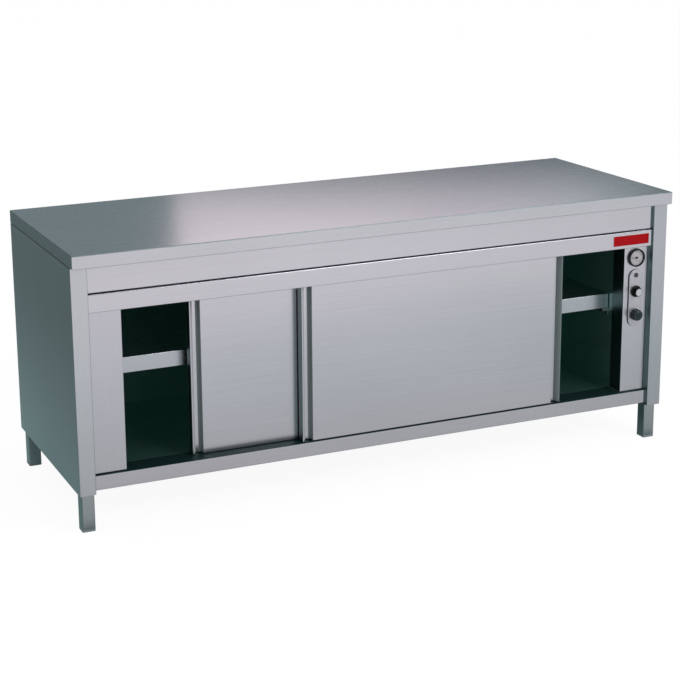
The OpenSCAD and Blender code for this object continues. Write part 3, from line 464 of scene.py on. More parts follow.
BLOCK_FACES = [(0, 1, 3, 2), (4, 6, 7, 5), (0, 4, 5, 1), (2, 3, 7, 6), (0, 2, 6, 4), (1, 5, 7, 3)]


def slab(low, high):
    """A plain block between two corners."""
    x, y, z = zip(low, high)
    return [(x[i], y[j], z[k]) for i in (0, 1) for j in (0, 1) for k in (0, 1)], BLOCK_FACES


def stack_rings(rings, heights):
    """Skin over outlines of the same number of points, one above another, closed at the ends."""
    around = len(rings[0])
    points = np.hstack([np.concatenate(rings), np.repeat(heights, around)[:, None]])
    lower = list(range(around))[::-1]
    upper = list(range(len(points) - around, len(points)))
    return points, skin(len(rings), around) + [lower, upper]


def prism(outline, low, high):
    """A flat plate: a closed outline in X and Y between two heights."""
    return stack_rings([outline, outline], [low, high])


sheet = 1.2 * MM
inner_bend = 1.0 * MM
sharp_bend = 0.3 * MM
print("sheet", sheet, "inner bend", inner_bend, "sharp bend", sharp_bend)

# %% [markdown]
# ## The worktop
#
# The worktop is a tray: the sheet is folded down on all four sides and back under itself, and
# the four corners are welded and ground to a small radius. It is one profile, from a little
# inside the top over the edge and back underneath, carried round a rectangle with rounded
# corners. Two large faces fill the middle of the top, one above the sheet and one below it.
# Each profile point has a distance from the outer edge. Where that distance is less than the corner's
# radius the point runs on an arc, and further in it runs on a mitre. The bend along the top edge is a
# little rougher than the flats and painted darker, a painted shade that draws a thin grey line in place
# of a highlight.

# %% Worktop
CORNER_SIGNS = np.array([(1, 1), (-1, 1), (-1, -1), (1, -1)], float)


def corner_directions(steps):
    """Unit vectors (cos a, sin a) through a quarter turn at each of four corners in turn."""
    angle = np.radians(90) * (np.arange(4)[:, None] + np.linspace(0, 1, steps)[None, :])
    return np.stack([np.cos(angle), np.sin(angle)], axis=-1)


def carry_round(face, back, low, high, corner, steps=5):
    """Carries a section of (distance inwards, height) round a rectangle, and fills its middle."""
    ring = np.concatenate([face, back[::-1]])
    middle = (low[:2] + high[:2]) / 2
    half = (high[:2] - low[:2]) / 2
    centre = middle + CORNER_SIGNS * (half - corner)
    beyond = (corner - ring[:, 0])[None, None, :, None]
    round_part = corner_directions(steps)[:, :, None, :] * np.maximum(beyond, 0)
    mitre_part = CORNER_SIGNS[:, None, None, :] * np.minimum(beyond, 0)
    plan = centre[:, None, None, :] + round_part + mitre_part
    height = np.broadcast_to(ring[:, 1][None, None, :, None], plan.shape[:3] + (1,))
    points = np.concatenate([plan, height], axis=-1).reshape(-1, 3)
    around, count = 4 * steps, len(ring)
    i, k = np.meshgrid(np.arange(around), np.arange(count - 1), indexing="ij")
    here, beside = i * count + k, (i + 1) % around * count + k
    grid = np.stack([here, beside, beside + 1, here + 1], axis=-1).reshape(-1, 4)
    top = (np.arange(around) * count).tolist()
    under = (np.arange(around) * count + count - 1).tolist()[::-1]
    return points, grid.tolist() + [top, under]


worktop_sheet = 1.5 * MM
worktop_return = 60 * MM
worktop_flat = 120 * MM
worktop_corner = 2 * MM
top_low, top_high = corners("worktop")
worktop_line = [(worktop_flat, top_high[2]), (0, top_high[2]), (0, top_low[2]),
                (worktop_return, top_low[2])]
worktop_shape = carry_round(*fold(worktop_line, worktop_sheet, inner_bend),
                            top_low, top_high, worktop_corner)
tray = add_piece("worktop_tray", [worktop_shape], worktop_steel,
                 stands_for=["worktop"])


def top_bend(at, normal):
    """The bend along the top edge, whose normals lie between straight out and straight up."""
    leaning = (normal[:, 2] > 0.12) & (normal[:, 2] < 0.88)
    return leaning & (at[:, 2] > top_high[2] - 2 * worktop_sheet)


# Painted shade along the top bend.
leave_unpolished(tray, top_bend, edge_shade_steel)

# %% [markdown]
# ## Side panels
#
# Each side is one sheet: it starts as a return inside the body, turns to make the front stile,
# turns again to run along the side, and closes round the back. It ends just short of the
# worktop, which leaves a thin dark line. Below, a plate with two square windows lets the legs
# through. The right side is made, and the left one is its mirror image. The right one's steel is
# slightly darker, and the photograph shows no image of its stile in the panels beside it, so it
# is kept out of reflections.

# %% Side panels
def mirrored(shape):
    """The same shape on the other side of the middle, X turned to minus X."""
    points = np.array(shape[0], float)
    points[:, 0] *= -1
    return points, shape[1]


def plate_with_windows(low, high, windows):
    """A flat plate with square windows: the cells of a grid whose lines are all the edges.

    Each cell is kept unless its middle lies in a window. Walls stand where a kept cell
    has no kept neighbour."""
    lines = [np.unique([low[axis], high[axis]] + [edge[axis] for hole in windows for edge in hole])
             for axis in (0, 1)]
    middles = [(line[:-1] + line[1:]) / 2 for line in lines]
    middle_x, middle_y = np.meshgrid(*middles, indexing="ij")
    solid = np.ones(middle_x.shape, bool)
    for (left, front), (right, rear) in windows:
        solid &= ~((middle_x > left) & (middle_x < right) & (middle_y > front) & (middle_y < rear))
    grid_x, grid_y = np.meshgrid(*lines, indexing="ij")
    layer = np.stack([grid_x.ravel(), grid_y.ravel(), np.full(grid_x.size, low[2])], axis=1)
    lid = layer + [0, 0, high[2] - low[2]]
    count, rows = len(layer), len(lines[1])
    i, j = np.nonzero(solid)
    a, b, c, d = i * rows + j, (i + 1) * rows + j, (i + 1) * rows + j + 1, i * rows + j + 1
    faces = np.stack([a, b, c, d], axis=1)
    faces = np.concatenate([faces, faces + count])
    around = np.pad(solid, 1)
    for (step_x, step_y), start, end in [((1, 0), a, b), ((0, 1), a, d), ((2, 1), b, c), ((1, 2), d, c)]:
        bare = ~around[i + step_x, j + step_y]
        wall = np.stack([start, end, end + count, start + count], axis=1)
        faces = np.concatenate([faces, wall[bare]])
    return np.concatenate([layer, lid]), faces.tolist()


stile_return = 35 * MM
flange = 20 * MM
top_gap = 1.3 * MM
side_low, side_high = corners("side_panel_right") - np.array([(0, 0, 0), (0, 0, top_gap)])
side_line = [
    (side_low[0], side_low[1] + stile_return), (side_low[0], side_low[1]),
    (side_high[0], side_low[1]), (side_high[0], side_high[1]),
    (side_low[0], side_high[1]), (side_low[0], side_high[1] - flange)]
side_fold = draw_out(*fold(side_line, sheet, inner_bend), "z", side_low[2], side_high[2])
leg_gap = 0.3 * MM
leg_windows = []
for leg in ("leg_front_right", "leg_rear_right"):
    leg_low, leg_high = corners(leg)
    leg_windows.append(np.array([leg_low[:2] - leg_gap, leg_high[:2] + leg_gap]))
plate_low = side_low + [sheet, sheet, 0]
plate_high = np.array([side_high[0] - sheet, side_high[1] - sheet, side_low[2] + sheet])
side_foot = plate_with_windows(plate_low, plate_high, leg_windows)
side_lid = slab(plate_low + [0, 0, side_high[2] - side_low[2] - sheet],
                plate_high + [0, 0, side_high[2] - side_low[2] - sheet])
side_upstand = slab((side_low[0], side_low[1] + stile_return, side_low[2]),
                    (side_low[0] + sheet, side_high[1] - flange, side_low[2] + flange))
side_shapes = [side_fold, side_foot, side_lid, side_upstand]
# The right side gets a darker copy of the side steel: painted shade.
right = add_piece("side_right", side_shapes, right_shade_steel,
                  stands_for=["side_panel_right"])
left = add_piece("side_left", [mirrored(s) for s in side_shapes], side_steel,
                 stands_for=["side_panel_left"])
# The returns inside the stiles get painted shade.
for piece in (right, left):
    leave_unpolished(piece, lambda at, normal: np.abs(at[:, 0]) < side_low[0] + sheet)
right.visible_glossy = False

# %% [markdown]
# ## Legs and feet
#
# The legs are square tubes with rounded corners. Each ends in a square shoe on a threaded
# stem, which levels the cabinet. The tube is a rounded square drawn out along Z, with the same
# square, one wall smaller, inside it. The shoe's profile is (how far in, how high), in
# millimetres. The thread is a cylinder whose radius goes up and down along a helix: the angle
# round the stem plus the height, both counted in turns, gives an even zigzag.

# %% Legs and feet
def rounded_oblong(middle, half, radius, steps=6):
    """Closed outline of an oblong with round corners, anticlockwise; half may be one number."""
    corner_centre = middle + CORNER_SIGNS[:, None, :] * (half - radius)
    return (corner_centre + radius * corner_directions(steps)).reshape(-1, 2)


def square_tube(outer, inner, low, high):
    """A tube between two outlines: up the outer wall, over the rim, down the inner wall, and
    back under the lower rim to the ring it started from, whose points are merged later."""
    rings = [outer, outer, inner, inner, outer]
    heights = np.repeat([low, high, high, low, low], len(outer))[:, None]
    return np.hstack([np.concatenate(rings), heights]), skin(len(rings), len(outer))


def threaded_stem(middle, radius, low, high, pitch=1.5 * MM, depth=0.6 * MM, around=20):
    """A cylinder whose radius follows a triangle wave of (height / pitch + angle / turn)."""
    count = int((high - low) / pitch * 6)
    height = np.linspace(low, high, count)
    turn = np.arange(around) / around
    wave = np.abs(((height[:, None] / pitch + turn[None, :]) % 1) * 2 - 1)
    angle = 2 * np.pi * turn
    circle = np.stack([np.cos(angle), np.sin(angle)], axis=-1)
    return stack_rings(list(middle + (radius - depth * wave)[..., None] * circle), height)


leg_wall = 1.5 * MM
leg_corner = 3.5 * MM
shoe_height = 8
shoe_profile = [(1.2, 0), (0.4, 0.4), (0, 1.2), (0, shoe_height - 1.4), (0.4, shoe_height - 0.5),
                (1.2, shoe_height)]
shoe_corner = 3 * MM
stem_radius = 5 * MM
for place in ("front_left", "front_right", "rear_left", "rear_right"):
    leg_low, leg_high = corners("leg_" + place)
    middle, half = (leg_low[:2] + leg_high[:2]) / 2, (leg_high[0] - leg_low[0]) / 2
    outer = rounded_oblong(middle, half, leg_corner)
    inner = rounded_oblong(middle, half - leg_wall, leg_corner - leg_wall)
    add_piece("tube_" + place, [square_tube(outer, inner, leg_low[2], leg_high[2])],
              leg_steel, stands_for=["leg_" + place])
    foot_low, foot_high = corners("foot_" + place)
    rings = [rounded_oblong(middle, half - inset * MM, shoe_corner) for inset, _ in shoe_profile]
    shoe = stack_rings(rings, [foot_low[2] + height * MM for _, height in shoe_profile])
    stem = threaded_stem(middle, stem_radius, foot_low[2] + (shoe_height - 1) * MM, foot_high[2])
    add_piece("shoe_" + place, [shoe, stem], foot_plastic, "foot_" + place,
              ["foot_" + place])

# %% [markdown]
# ## Apron, fascia, bottom rail and shelf
#
# These four are folds that run the length of the cabinet. The apron is a channel under the worktop. The
# fascia hooks over the door track and ends in a narrow hem. The bottom rail has a wide top face that the
# doors stand over, and that face and its bend are painted dark, as the shade under the doors. The shelf
# has its front and rear edges folded down and in, which keeps a long thin sheet from sagging.

# %% Long folds
def long_fold(name, node_name, line, material):
    """A section of (y, z) corners drawn out along the length of its node."""
    low, high = corners(node_name)
    shape = draw_out(*fold(line, sheet, inner_bend), "x", low[0], high[0])
    return add_piece(name, [shape], material, stands_for=[node_name])


low, high = corners("apron")
long_fold("apron_channel", "apron",
          [(high[1], high[2]), (low[1], high[2]), (low[1], low[2]), (high[1], low[2])],
          panel_steel)

low, high = corners("fascia")
hem = 9 * MM
long_fold("fascia_hood", "fascia",
          [(high[1], high[2]), (low[1], high[2]), (low[1], low[2]), (low[1] + hem, low[2])],
          panel_steel)

low, high = corners("bottom_rail")
rail_lip = 30 * MM
rail_foot = low[2] + 2 * sheet
rail = long_fold("rail_sheet", "bottom_rail",
                 [(high[1], rail_foot), (high[1], high[2]), (low[1], high[2]), (low[1], low[2]),
                  (low[1] + rail_lip, low[2])],
                 panel_steel)
# The top of the rail and its bend: painted shade.
leave_unpolished(rail, lambda at, normal: normal[:, 2] > 0.25, ledge_shade_steel)

low, high = corners("shelf")
shelf_lip = 12 * MM
long_fold("shelf_sheet", "shelf",
          [(low[1] + shelf_lip, low[2]), (low[1], low[2]), (low[1], high[2]),
           (high[1], high[2]), (high[1], low[2]), (high[1] - shelf_lip, low[2])][::-1],
          shelf_steel)

# %% [markdown]
# ## The panels beside the doorway
#
# At each end of the doorway stands a panel that is folded back along both edges. The deep fold
# is the post that a door closes on. They are uprights, so their section is drawn in plan and
# carried along Z, and the grain of the steel runs up and down.

# %% Filler and control panel
def upright_panel(name, node_name, side):
    """A plan section from the stile, across the front and back along the doorway's edge."""
    low, high = corners(node_name)
    post, outer = (high[0], low[0]) if side == "left" else (low[0], high[0])
    line = [(outer, low[1] + flange / 2), (outer, low[1]), (post, low[1]), (post, high[1])]
    if side == "right":
        line = line[::-1]
    shape = draw_out(*fold(line, sheet, sharp_bend), "z", low[2], high[2])
    piece = add_piece(name, [shape], upright_steel, stands_for=[node_name])
    # Faces that look left or right get painted shade.
    leave_unpolished(piece, lambda at, normal: np.abs(normal[:, 0]) > FACES_TO)
    return piece


upright_panel("filler_upright", "filler_panel", "left")
upright_panel("control_upright", "control_panel", "right")

# %% [markdown]
# ## Sliding doors
#
# A door is a shallow tray. Near each side edge its sheet drops into a groove that takes the
# fingertips, and slopes up again to a narrow rim. In plan that is one folded line, carried
# from the bottom to the top of the door. The two open ends are closed by flat plates, and the
# lower one leaves a slot for the guide on the rail. The line is drawn for half a door and
# mirrored, because both sides are alike.

# %% A door's shape
door_sheet = 0.8 * MM
rim_width, groove_slope = 3 * MM, 11.5 * MM
groove_width, groove_depth = 19 * MM, 18 * MM
mirrored_strip = 9 * MM
rear_flange = 12 * MM
slot_half = 3 * MM
door_low, door_high = corners("door_left_skin")
door_half = (door_high[0] - door_low[0]) / 2
rim = door_half - rim_width
floor_end = rim - groove_slope
face_half = floor_end - groove_width
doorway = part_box("cavity_wall_right")[0][0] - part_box("cavity_wall_left")[1][0]
guide_low, guide_high = corners("door_guide")
guide_slot = (doorway - 2 * door_half + guide_high[0] - guide_low[0]) / 2 + MM


def door_line(depth):
    """A door's sheet in plan round the middle of its front: one side edge, mirrored and joined."""
    edge = np.array([
        (door_half - rear_flange, depth), (door_half, depth), (door_half, 0), (rim, 0),
        (floor_end, groove_depth), (face_half + mirrored_strip, groove_depth),
        (face_half, groove_depth), (face_half, 0)])
    return np.concatenate([edge * [-1, 1], edge[::-1]])


def door_bottom(back, middle, low, high):
    """The lower plate: an end beyond each end of the slot, and a strip on each side of it."""
    front, rear, top = low[1] + door_sheet, high[1] - door_sheet, low[2] + door_sheet
    slot_y = (front + high[1]) / 2
    shapes = []
    for sign in (-1, 1):
        cut = [(middle + sign * guide_slot, y) for y in (front, rear)][::-sign]
        beyond = back[(back[:, 0] - middle) * sign > guide_slot]
        shapes.append(prism(np.concatenate([beyond, cut]), low[2], top))
    for near, far in ((front, slot_y - slot_half), (slot_y + slot_half, rear)):
        shapes.append(slab((middle - guide_slot, near, low[2]), (middle + guide_slot, far, top)))
    return shapes


print("door half", round(door_half, 4), "face half", round(face_half, 4), "slot", round(guide_slot, 4))

# %% [markdown]
# ## Painted light and shade along a door's edges
#
# Light and shade are painted along a door's edges. Walls that face left, and the right rim as well, are
# painted dark, as shade. The wall that drops from the face, and the strip of the groove's floor that
# mirrors it, are painted a calm grey, a painted shade in place of their reflections. The outer slope is
# painted pale where it faces right, as lit, and grey where it faces left, as shade. A rule picks each of
# these places by where a face lies and where it looks.

# %% Doors
def finish_door(tray, middle, front):
    """Paints light and shade on the edges of a door with their own steels, one rule after another."""
    tilt = groove_slope / math.hypot(groove_slope, groove_depth)

    def inner_corner(at, normal):
        """The wall that drops from the door's face, and the strip of floor beside it."""
        out, deep = np.abs(at[:, 0] - middle), at[:, 1] - front
        strip = (deep > groove_depth / 2) & (normal[:, 1] < -FACES_TO)
        wall = (deep > MM) & (np.abs(normal[:, 0]) > FACES_TO)
        beside_face = (out > face_half - MM) & (out < face_half + mirrored_strip)
        return (strip | wall) & beside_face & (deep < groove_depth + MM)

    def outer_slope(at, normal):
        """The slope from the groove's floor up to the rim, known by its tilt."""
        return (np.abs(normal[:, 1] + tilt) < 0.1) & (np.abs(at[:, 0] - middle) > floor_end - MM)

    def left_walls(at, normal):
        """Walls that face left, and the outermost one at the right."""
        return (normal[:, 0] < -FACES_TO) | (normal[:, 0] > SQUARE_TO)

    def right_rim(at, normal):
        """The narrow flat of the rim at the right."""
        return (normal[:, 1] < -FACES_TO) & (at[:, 0] > middle + rim)

    # Painted shade on left walls and the right rim, painted grey shade in the inner corner, painted
    # light on the slope facing right, painted shade on the slope facing left.
    leave_unpolished(tray, left_walls)
    leave_unpolished(tray, right_rim)
    leave_unpolished(tray, inner_corner, shade_steel)
    leave_unpolished(tray, lambda at, normal: outer_slope(at, normal) & (normal[:, 0] > 0), lit_slope_steel)
    leave_unpolished(tray, lambda at, normal: outer_slope(at, normal) & (normal[:, 0] < 0), shade_steel)


def door_tray(side):
    """A door: its folded line drawn out, closed by the top and bottom plates."""
    low, high = corners(f"door_{side}_skin")
    middle = (low[0] + high[0]) / 2
    line = door_line(high[1] - low[1]) + [middle, low[1]]
    face, back = fold(line, door_sheet, sharp_bend)
    shapes = [draw_out(face, back, "z", low[2], high[2]), prism(back, high[2] - door_sheet, high[2])]
    tray = add_piece(f"door_{side}_tray", shapes + door_bottom(back, middle, low, high), panel_steel,
                     f"door_{side}", [f"door_{side}_skin"])
    finish_door(tray, middle, low[1])


door_tray("left")
door_tray("right")

# %% [markdown]
# ## Turned pieces
#
# The thermometer's bezel, the lamp and the knobs are turned or moulded round an axis that runs
# from front to back, and they all sit on the control panel's middle line. A profile of (radius,
# distance in front of the panel) is carried round the axis. Where a profile touches the axis its
# points fall together and are merged into a single pole, so the surface stays closed. Corners of
# the profile are rounded with short arcs.

# %% Turning
plate_low, plate_high = corners("control_plate")
panel_y = plate_high[1]
control_x = (plate_low[0] + plate_high[0]) / 2


def turned(profile, y, z, around=72, ripple=None):
    """Carries (radius, height) round the front-to-back axis at height z, starting at y.

    x = control_x + r cos a, z = z + r sin a. ripple, if given, is a function of (angle, radius,
    height) that returns a new radius."""
    r, h = np.repeat(np.asarray(profile, float)[:, :, None], around, axis=2).transpose(1, 0, 2)
    angle = 2 * np.pi * np.arange(around) / around
    if ripple:
        r = ripple(angle, r, h)
    points = np.stack([control_x + r * np.cos(angle), y - h, z + r * np.sin(angle)], axis=-1)
    return points.reshape(-1, 3), skin(len(profile), around)


def round_size(name):
    """A round node's radius, the height of its middle, and the Y of its front and its back."""
    low, high = corners(name)
    return (high[0] - low[0]) / 2, (low[2] + high[2]) / 2, low[1], high[1]


def arc(radius, height, size, start, end, steps=6):
    """Points of a circle's arc in a profile, from one angle to another, in degrees."""
    a = np.radians(np.linspace(start, end, steps + 1))
    return [(radius + size * c, height + size * s) for c, s in zip(np.cos(a), np.sin(a))]


print("controls at x", round(control_x, 4), "panel face at y", round(panel_y, 4))

# %% [markdown]
# ## The thermometer
#
# A bimetal thermometer sits in a black case: a cup with a rounded bezel, a printed dial, a
# needle on a pivot, and a thin glass. The scale runs three quarters of the way round. The
# needle points left, near room temperature, because the cabinet is off. Ticks are thin blocks
# laid out by angle, and the plain numbers are text turned into a mesh.

# %% Thermometer case and dial
bezel_r, _, bezel_y, _ = round_size("thermometer_case")
bezel_h = panel_y - bezel_y
dial_r, thermometer_z, dial_y, dial_back = round_size("thermometer_dial")
case_depth = 20 * MM
rim_r = dial_r + 0.1 * MM
floor_h = panel_y - dial_back
case_profile = [(0, -case_depth)] + arc(rim_r - 2.5 * MM, -case_depth + MM, MM, -90, 0)
case_profile += [(rim_r - 1.5 * MM, 0)]
case_profile += arc(bezel_r - 0.5 * MM, 0.5 * MM, 0.5 * MM, -90, 0, 3)
case_profile += arc(bezel_r - 2.2 * MM, bezel_h - 2.2 * MM, 2.2 * MM, 0, 90)
case_profile += arc(rim_r + 0.8 * MM, bezel_h - 0.8 * MM, 0.8 * MM, 90, 180, 4)
case_profile += [(rim_r, floor_h), (0, floor_h)]
add_piece("thermometer_cup", [turned(case_profile, panel_y, thermometer_z, 96)],
          black_plastic, stands_for=["thermometer_case"])

dial_profile = [(0, -0.8 * MM), (dial_r, -0.8 * MM), (dial_r, -0.1 * MM), (dial_r - 0.1 * MM, 0),
                (0, 0)]
add_piece("thermometer_face", [turned(dial_profile, dial_y, thermometer_z, 96)],
          dial_white, stands_for=["thermometer_dial"])

# %% Ticks and numbers
SCALE_END = 135


def dial_tick(degrees, inner, outer, width, thickness=0.06 * MM):
    """A thin block on the dial, from one radius to another, at an angle from straight up."""
    a = math.radians(degrees)
    out = np.array([math.sin(a), 0, math.cos(a)])
    side = np.array([math.cos(a), 0, -math.sin(a)]) * width / 2
    lift = np.array([0, -thickness, 0])
    middle = np.array([control_x, dial_y, thermometer_z])
    base = [middle + out * r + side * s for r in (inner, outer) for s in (-1, 1)]
    return [b + lift * k for b in base for k in (0, 1)], BLOCK_FACES


ticks = []
for i, degrees in enumerate(np.linspace(-SCALE_END, SCALE_END, 25)):
    length, width = (3.0, 0.7) if i % 6 == 0 else (1.6, 0.35)
    outer_end = dial_r - 1.6 * MM
    ticks.append(dial_tick(degrees, outer_end - length * MM, outer_end, width * MM))
add_piece("dial_ticks", ticks, print_black)


def printed(name, words, x, z):
    """Plain characters as a flat mesh on the dial, centred on (x, z)."""
    curve = bpy.data.curves.new(name, "FONT")
    curve.body = words
    curve.size = 4.2 * MM
    curve.align_x = "CENTER"
    curve.align_y = "CENTER"
    curve.extrude = 0.02 * MM
    written = bpy.data.objects.new(name, curve)
    bpy.context.scene.collection.objects.link(written)
    bpy.context.view_layer.update()
    flat = bpy.data.meshes.new_from_object(written)
    bpy.data.objects.remove(written)
    co = np.zeros(len(flat.vertices) * 3)
    flat.vertices.foreach_get("co", co)
    co = co.reshape(-1, 3)
    points = np.stack([x + co[:, 0], dial_y - co[:, 2] - 0.03 * MM, z + co[:, 1]], axis=1)
    faces = [list(p.vertices) for p in flat.polygons]
    bpy.data.meshes.remove(flat)
    return points, faces


number_ring, unit_drop = dial_r - 8.0 * MM, 11 * MM
numbers = [printed("unit", "°C", control_x, thermometer_z - unit_drop)]
for value, degrees in zip((0, 30, 60, 90, 120), np.linspace(-SCALE_END, SCALE_END, 5)):
    a = math.radians(degrees)
    numbers.append(printed(f"number_{value}", str(value), control_x + number_ring * math.sin(a),
                           thermometer_z + number_ring * math.cos(a)))
add_piece("dial_numbers", numbers, print_black)

# %% Needle and glass
needle_low, needle_high = corners("thermometer_needle")
needle_y = needle_low[1] + 0.8 * MM
reach, tail = control_x - needle_low[0], needle_high[0] - control_x
needle_side = np.array([(-reach, 0.4 * MM), (-2.5 * MM, 0.9 * MM), (2.5 * MM, 1.1 * MM),
                        (tail, 1.2 * MM)])
needle_plan = np.concatenate([needle_side, needle_side[::-1] * [1, -1]])
needle_blade = prism(needle_plan, -0.3 * MM, 0.3 * MM)
blade_points = needle_blade[0][:, [0, 2, 1]] + [control_x, needle_y, thermometer_z]
hub_r = 3.5 * MM
hub_profile = [(0, -0.8 * MM), (hub_r, -0.8 * MM), (hub_r, 0.2 * MM)]
hub_profile += arc(hub_r - 0.6 * MM, 0.2 * MM, 0.6 * MM, 0, 90, 4) + [(0, 0.8 * MM)]
pivot_profile = [(0, -4.5 * MM), (MM, -4.5 * MM), (MM, 0), (0, 0)]
add_piece("needle", [(blade_points, needle_blade[1]),
                     turned(hub_profile, needle_y, thermometer_z, 32),
                     turned(pivot_profile, needle_y, thermometer_z, 16)],
          print_black, "thermometer_needle", ["thermometer_needle"])

glass_r, _, _, glass_back = round_size("thermometer_glass")
glass_edge, glass_rise = 0.25 * MM, 0.9 * MM
dome = [(glass_r * out, glass_edge + glass_rise * (1 - out * out)) for out in np.linspace(1, 0, 9)]
glass_profile = [(0, 0), (glass_r, 0)] + dome
add_piece("thermometer_window", [turned(glass_profile, glass_back, thermometer_z, 72)],
          glass, stands_for=["thermometer_glass"])

# %% [markdown]
# ## The raised control plate, the lamp and the nameplate
#
# The plate is a long oval that stands out from the panel, with a softened front edge. Its
# outline at any depth is the same oval made a little smaller, so the surface is a stack of
# ovals. The lamp is a shallow dome in a thin collar. The nameplate, at the right end of the
# fascia, is a plain enamelled plate in a thin pale frame.

# %% Control plate
def oval(x, z, half_height, radius, steps=24):
    """Closed outline of a long oval: two half circles joined by straight sides."""
    a = np.linspace(0, np.pi, steps + 1)
    top = np.stack([x + radius * np.cos(a), z + half_height - radius + radius * np.sin(a)], axis=1)
    low = np.stack([x - radius * np.cos(a), z - half_height + radius - radius * np.sin(a)], axis=1)
    return np.concatenate([top, low])


def stack_forward(rings, depths):
    """Skin over outlines in X and Z, one in front of another: depths are the Y values."""
    points, faces = stack_rings(rings, depths)
    return np.asarray(points)[:, [0, 2, 1]], faces


plate_middle = (plate_low + plate_high) / 2
plate_half = (plate_high - plate_low) / 2
cover = 1.6 * MM
edge_line = [(0, plate_low[1] + cover)]
edge_line += [(cover * (1 - math.cos(a)), plate_low[1] + cover * (1 - math.sin(a)))
              for a in np.radians(np.linspace(15, 90, 6))]


def plate_outline(inset):
    """The plate's outline in X and Z, made smaller by an inset."""
    return oval(plate_middle[0], plate_middle[2], plate_half[2] - inset, plate_half[0] - inset)


add_piece("plate_cover",
          [stack_forward([plate_outline(inset) for inset, _ in edge_line],
                         [depth for _, depth in edge_line])],
          plate_silver, stands_for=["control_plate"])
add_piece("plate_base",
          [stack_forward([plate_outline(0)] * 2, [plate_high[1], plate_low[1] + cover])],
          black_plastic)

# %% Lamp and nameplate
lamp_r, lamp_z, _, _ = round_size("pilot_lamp")
plate_y = plate_low[1]
lens_r = lamp_r - 1.6 * MM
lens_edge, lens_rise = 2.2 * MM, 3.0 * MM
dome = [(lens_r * math.cos(a), lens_edge + lens_rise * math.sin(a))
        for a in np.radians(np.linspace(0, 90, 10))]
add_piece("lamp_dome", [turned([(0, -MM), (lens_r, -MM)] + dome, plate_y, lamp_z, 48)],
          lamp_lens, stands_for=["pilot_lamp"])
collar = [(lens_r, 0), (lamp_r, 0)]
collar += arc(lamp_r - 0.8 * MM, 1.4 * MM, 0.8 * MM, 0, 180, 8) + [(lens_r, 0)]
add_piece("lamp_collar", [turned(collar, plate_y, lamp_z, 48)],
          dark_plastic)

badge_low, badge_high = corners("nameplate")
badge_middle = (badge_low + badge_high) / 2
badge_half = (badge_high - badge_low) / 2
frame_width = 1.3 * MM


def badge_plate(inset, softened_from, front):
    """The nameplate's outline, made smaller by an inset, from its back to a softened front."""
    insets = (inset, inset, inset + 0.2 * MM)
    rings = [rounded_oblong(badge_middle[[0, 2]], badge_half[[0, 2]] - by, 1.2 * MM, 5)
             for by in insets]
    return stack_forward(rings, [badge_high[1], badge_low[1] + softened_from, badge_low[1] + front])


add_piece("badge_frame", [badge_plate(0, 0.4 * MM, 0.25 * MM)], plate_silver,
          stands_for=["nameplate"])
add_piece("badge_enamel", [badge_plate(frame_width, 0.1 * MM, 0)], badge_red)

# %% [markdown]
# ## The knobs
#
# The upper knob has a wide skirt, a narrower fluted grip and a metal cap. The lower one is a
# plain drum with hollows for the fingers. Flutes and hollows are a ripple: the radius is
# pulled in by a cosine of the angle, but only along the grip's height, so the ends stay round.

# %% Thermostat knob
def knob_ripple(count, depth, start, end):
    """Pulls the radius in count times round the knob, fading out at the two heights."""
    def ripple(angle, radius, height):
        inside = np.clip(np.minimum(height - start, end - height) / MM, 0, 1)
        return radius - depth * inside * (0.5 - 0.5 * np.cos(count * angle))
    return ripple


knob_r, knob_z, knob_y, spindle_y = round_size("thermostat_knob")
knob_h = plate_y - knob_y
spindle_r = 3 * MM
spindle_back = plate_y - spindle_y
knob_gap = 0.5 * MM
rounding = MM


def knob_back(radius):
    """The start of a knob's profile: its spindle, its back, and the rounded rim behind."""
    start = [(0, spindle_back), (spindle_r, spindle_back), (spindle_r, knob_gap)]
    edge = radius - rounding
    return start + [(edge, knob_gap)] + arc(edge, knob_gap + rounding, rounding, -90, 0, 3)


grip_r, cap_r = knob_r - 5.2 * MM, knob_r - 7.2 * MM
skirt_h, grip_start, grip_end = 3.6 * MM, 7 * MM, knob_h - 1.2 * MM
cap_seat, cap_softening = 0.4 * MM, 0.3 * MM
skirt = knob_back(knob_r) + arc(knob_r - rounding, skirt_h, rounding, 0, 80, 4)
step_in = [(grip_r + 1.2 * MM, 5.6 * MM), (grip_r, 6.8 * MM)]
taper = [(grip_r - 0.03 * MM * k, (8 + 1.6 * k) * MM) for k in range(6)]
round_end = arc(grip_r - 1.2 * MM, knob_h - 1.4 * MM, rounding, 10, 90, 4)
seat = [(cap_r, knob_h - cap_seat), (0, knob_h - cap_seat)]
grip = turned(skirt + step_in + taper + round_end + seat, plate_y, knob_z, 144,
              knob_ripple(24, 0.7 * MM, grip_start, grip_end))
add_piece("thermostat_grip", [grip], knob_plastic, "thermostat_knob",
          ["thermostat_knob"])
cap_profile = [(0, knob_h - MM), (cap_r, knob_h - MM)]
cap_profile += arc(cap_r - cap_softening, knob_h - cap_softening, cap_softening, 0, 90, 3)
cap_profile += [(0, knob_h)]
cap_metal = brushed_steel("cap_metal", tone(214, 214, 218), "x", 0.3, 0.1)
add_piece("thermostat_cap", [turned(cap_profile, plate_y, knob_z, 72)],
          cap_metal, "thermostat_knob")


def pointer(z, inner, outer, height, width=0.9 * MM):
    """A thin raised line on a knob that shows where it points at rest: straight up."""
    y = plate_y - height
    return slab((control_x - width / 2, y - 0.15 * MM, z + inner), (control_x + width / 2, y, z + outer))


add_piece("thermostat_pointer", [pointer(knob_z, knob_r - 4.5 * MM, knob_r - 1.2 * MM, 4.6 * MM)],
          mark_white, "thermostat_knob")

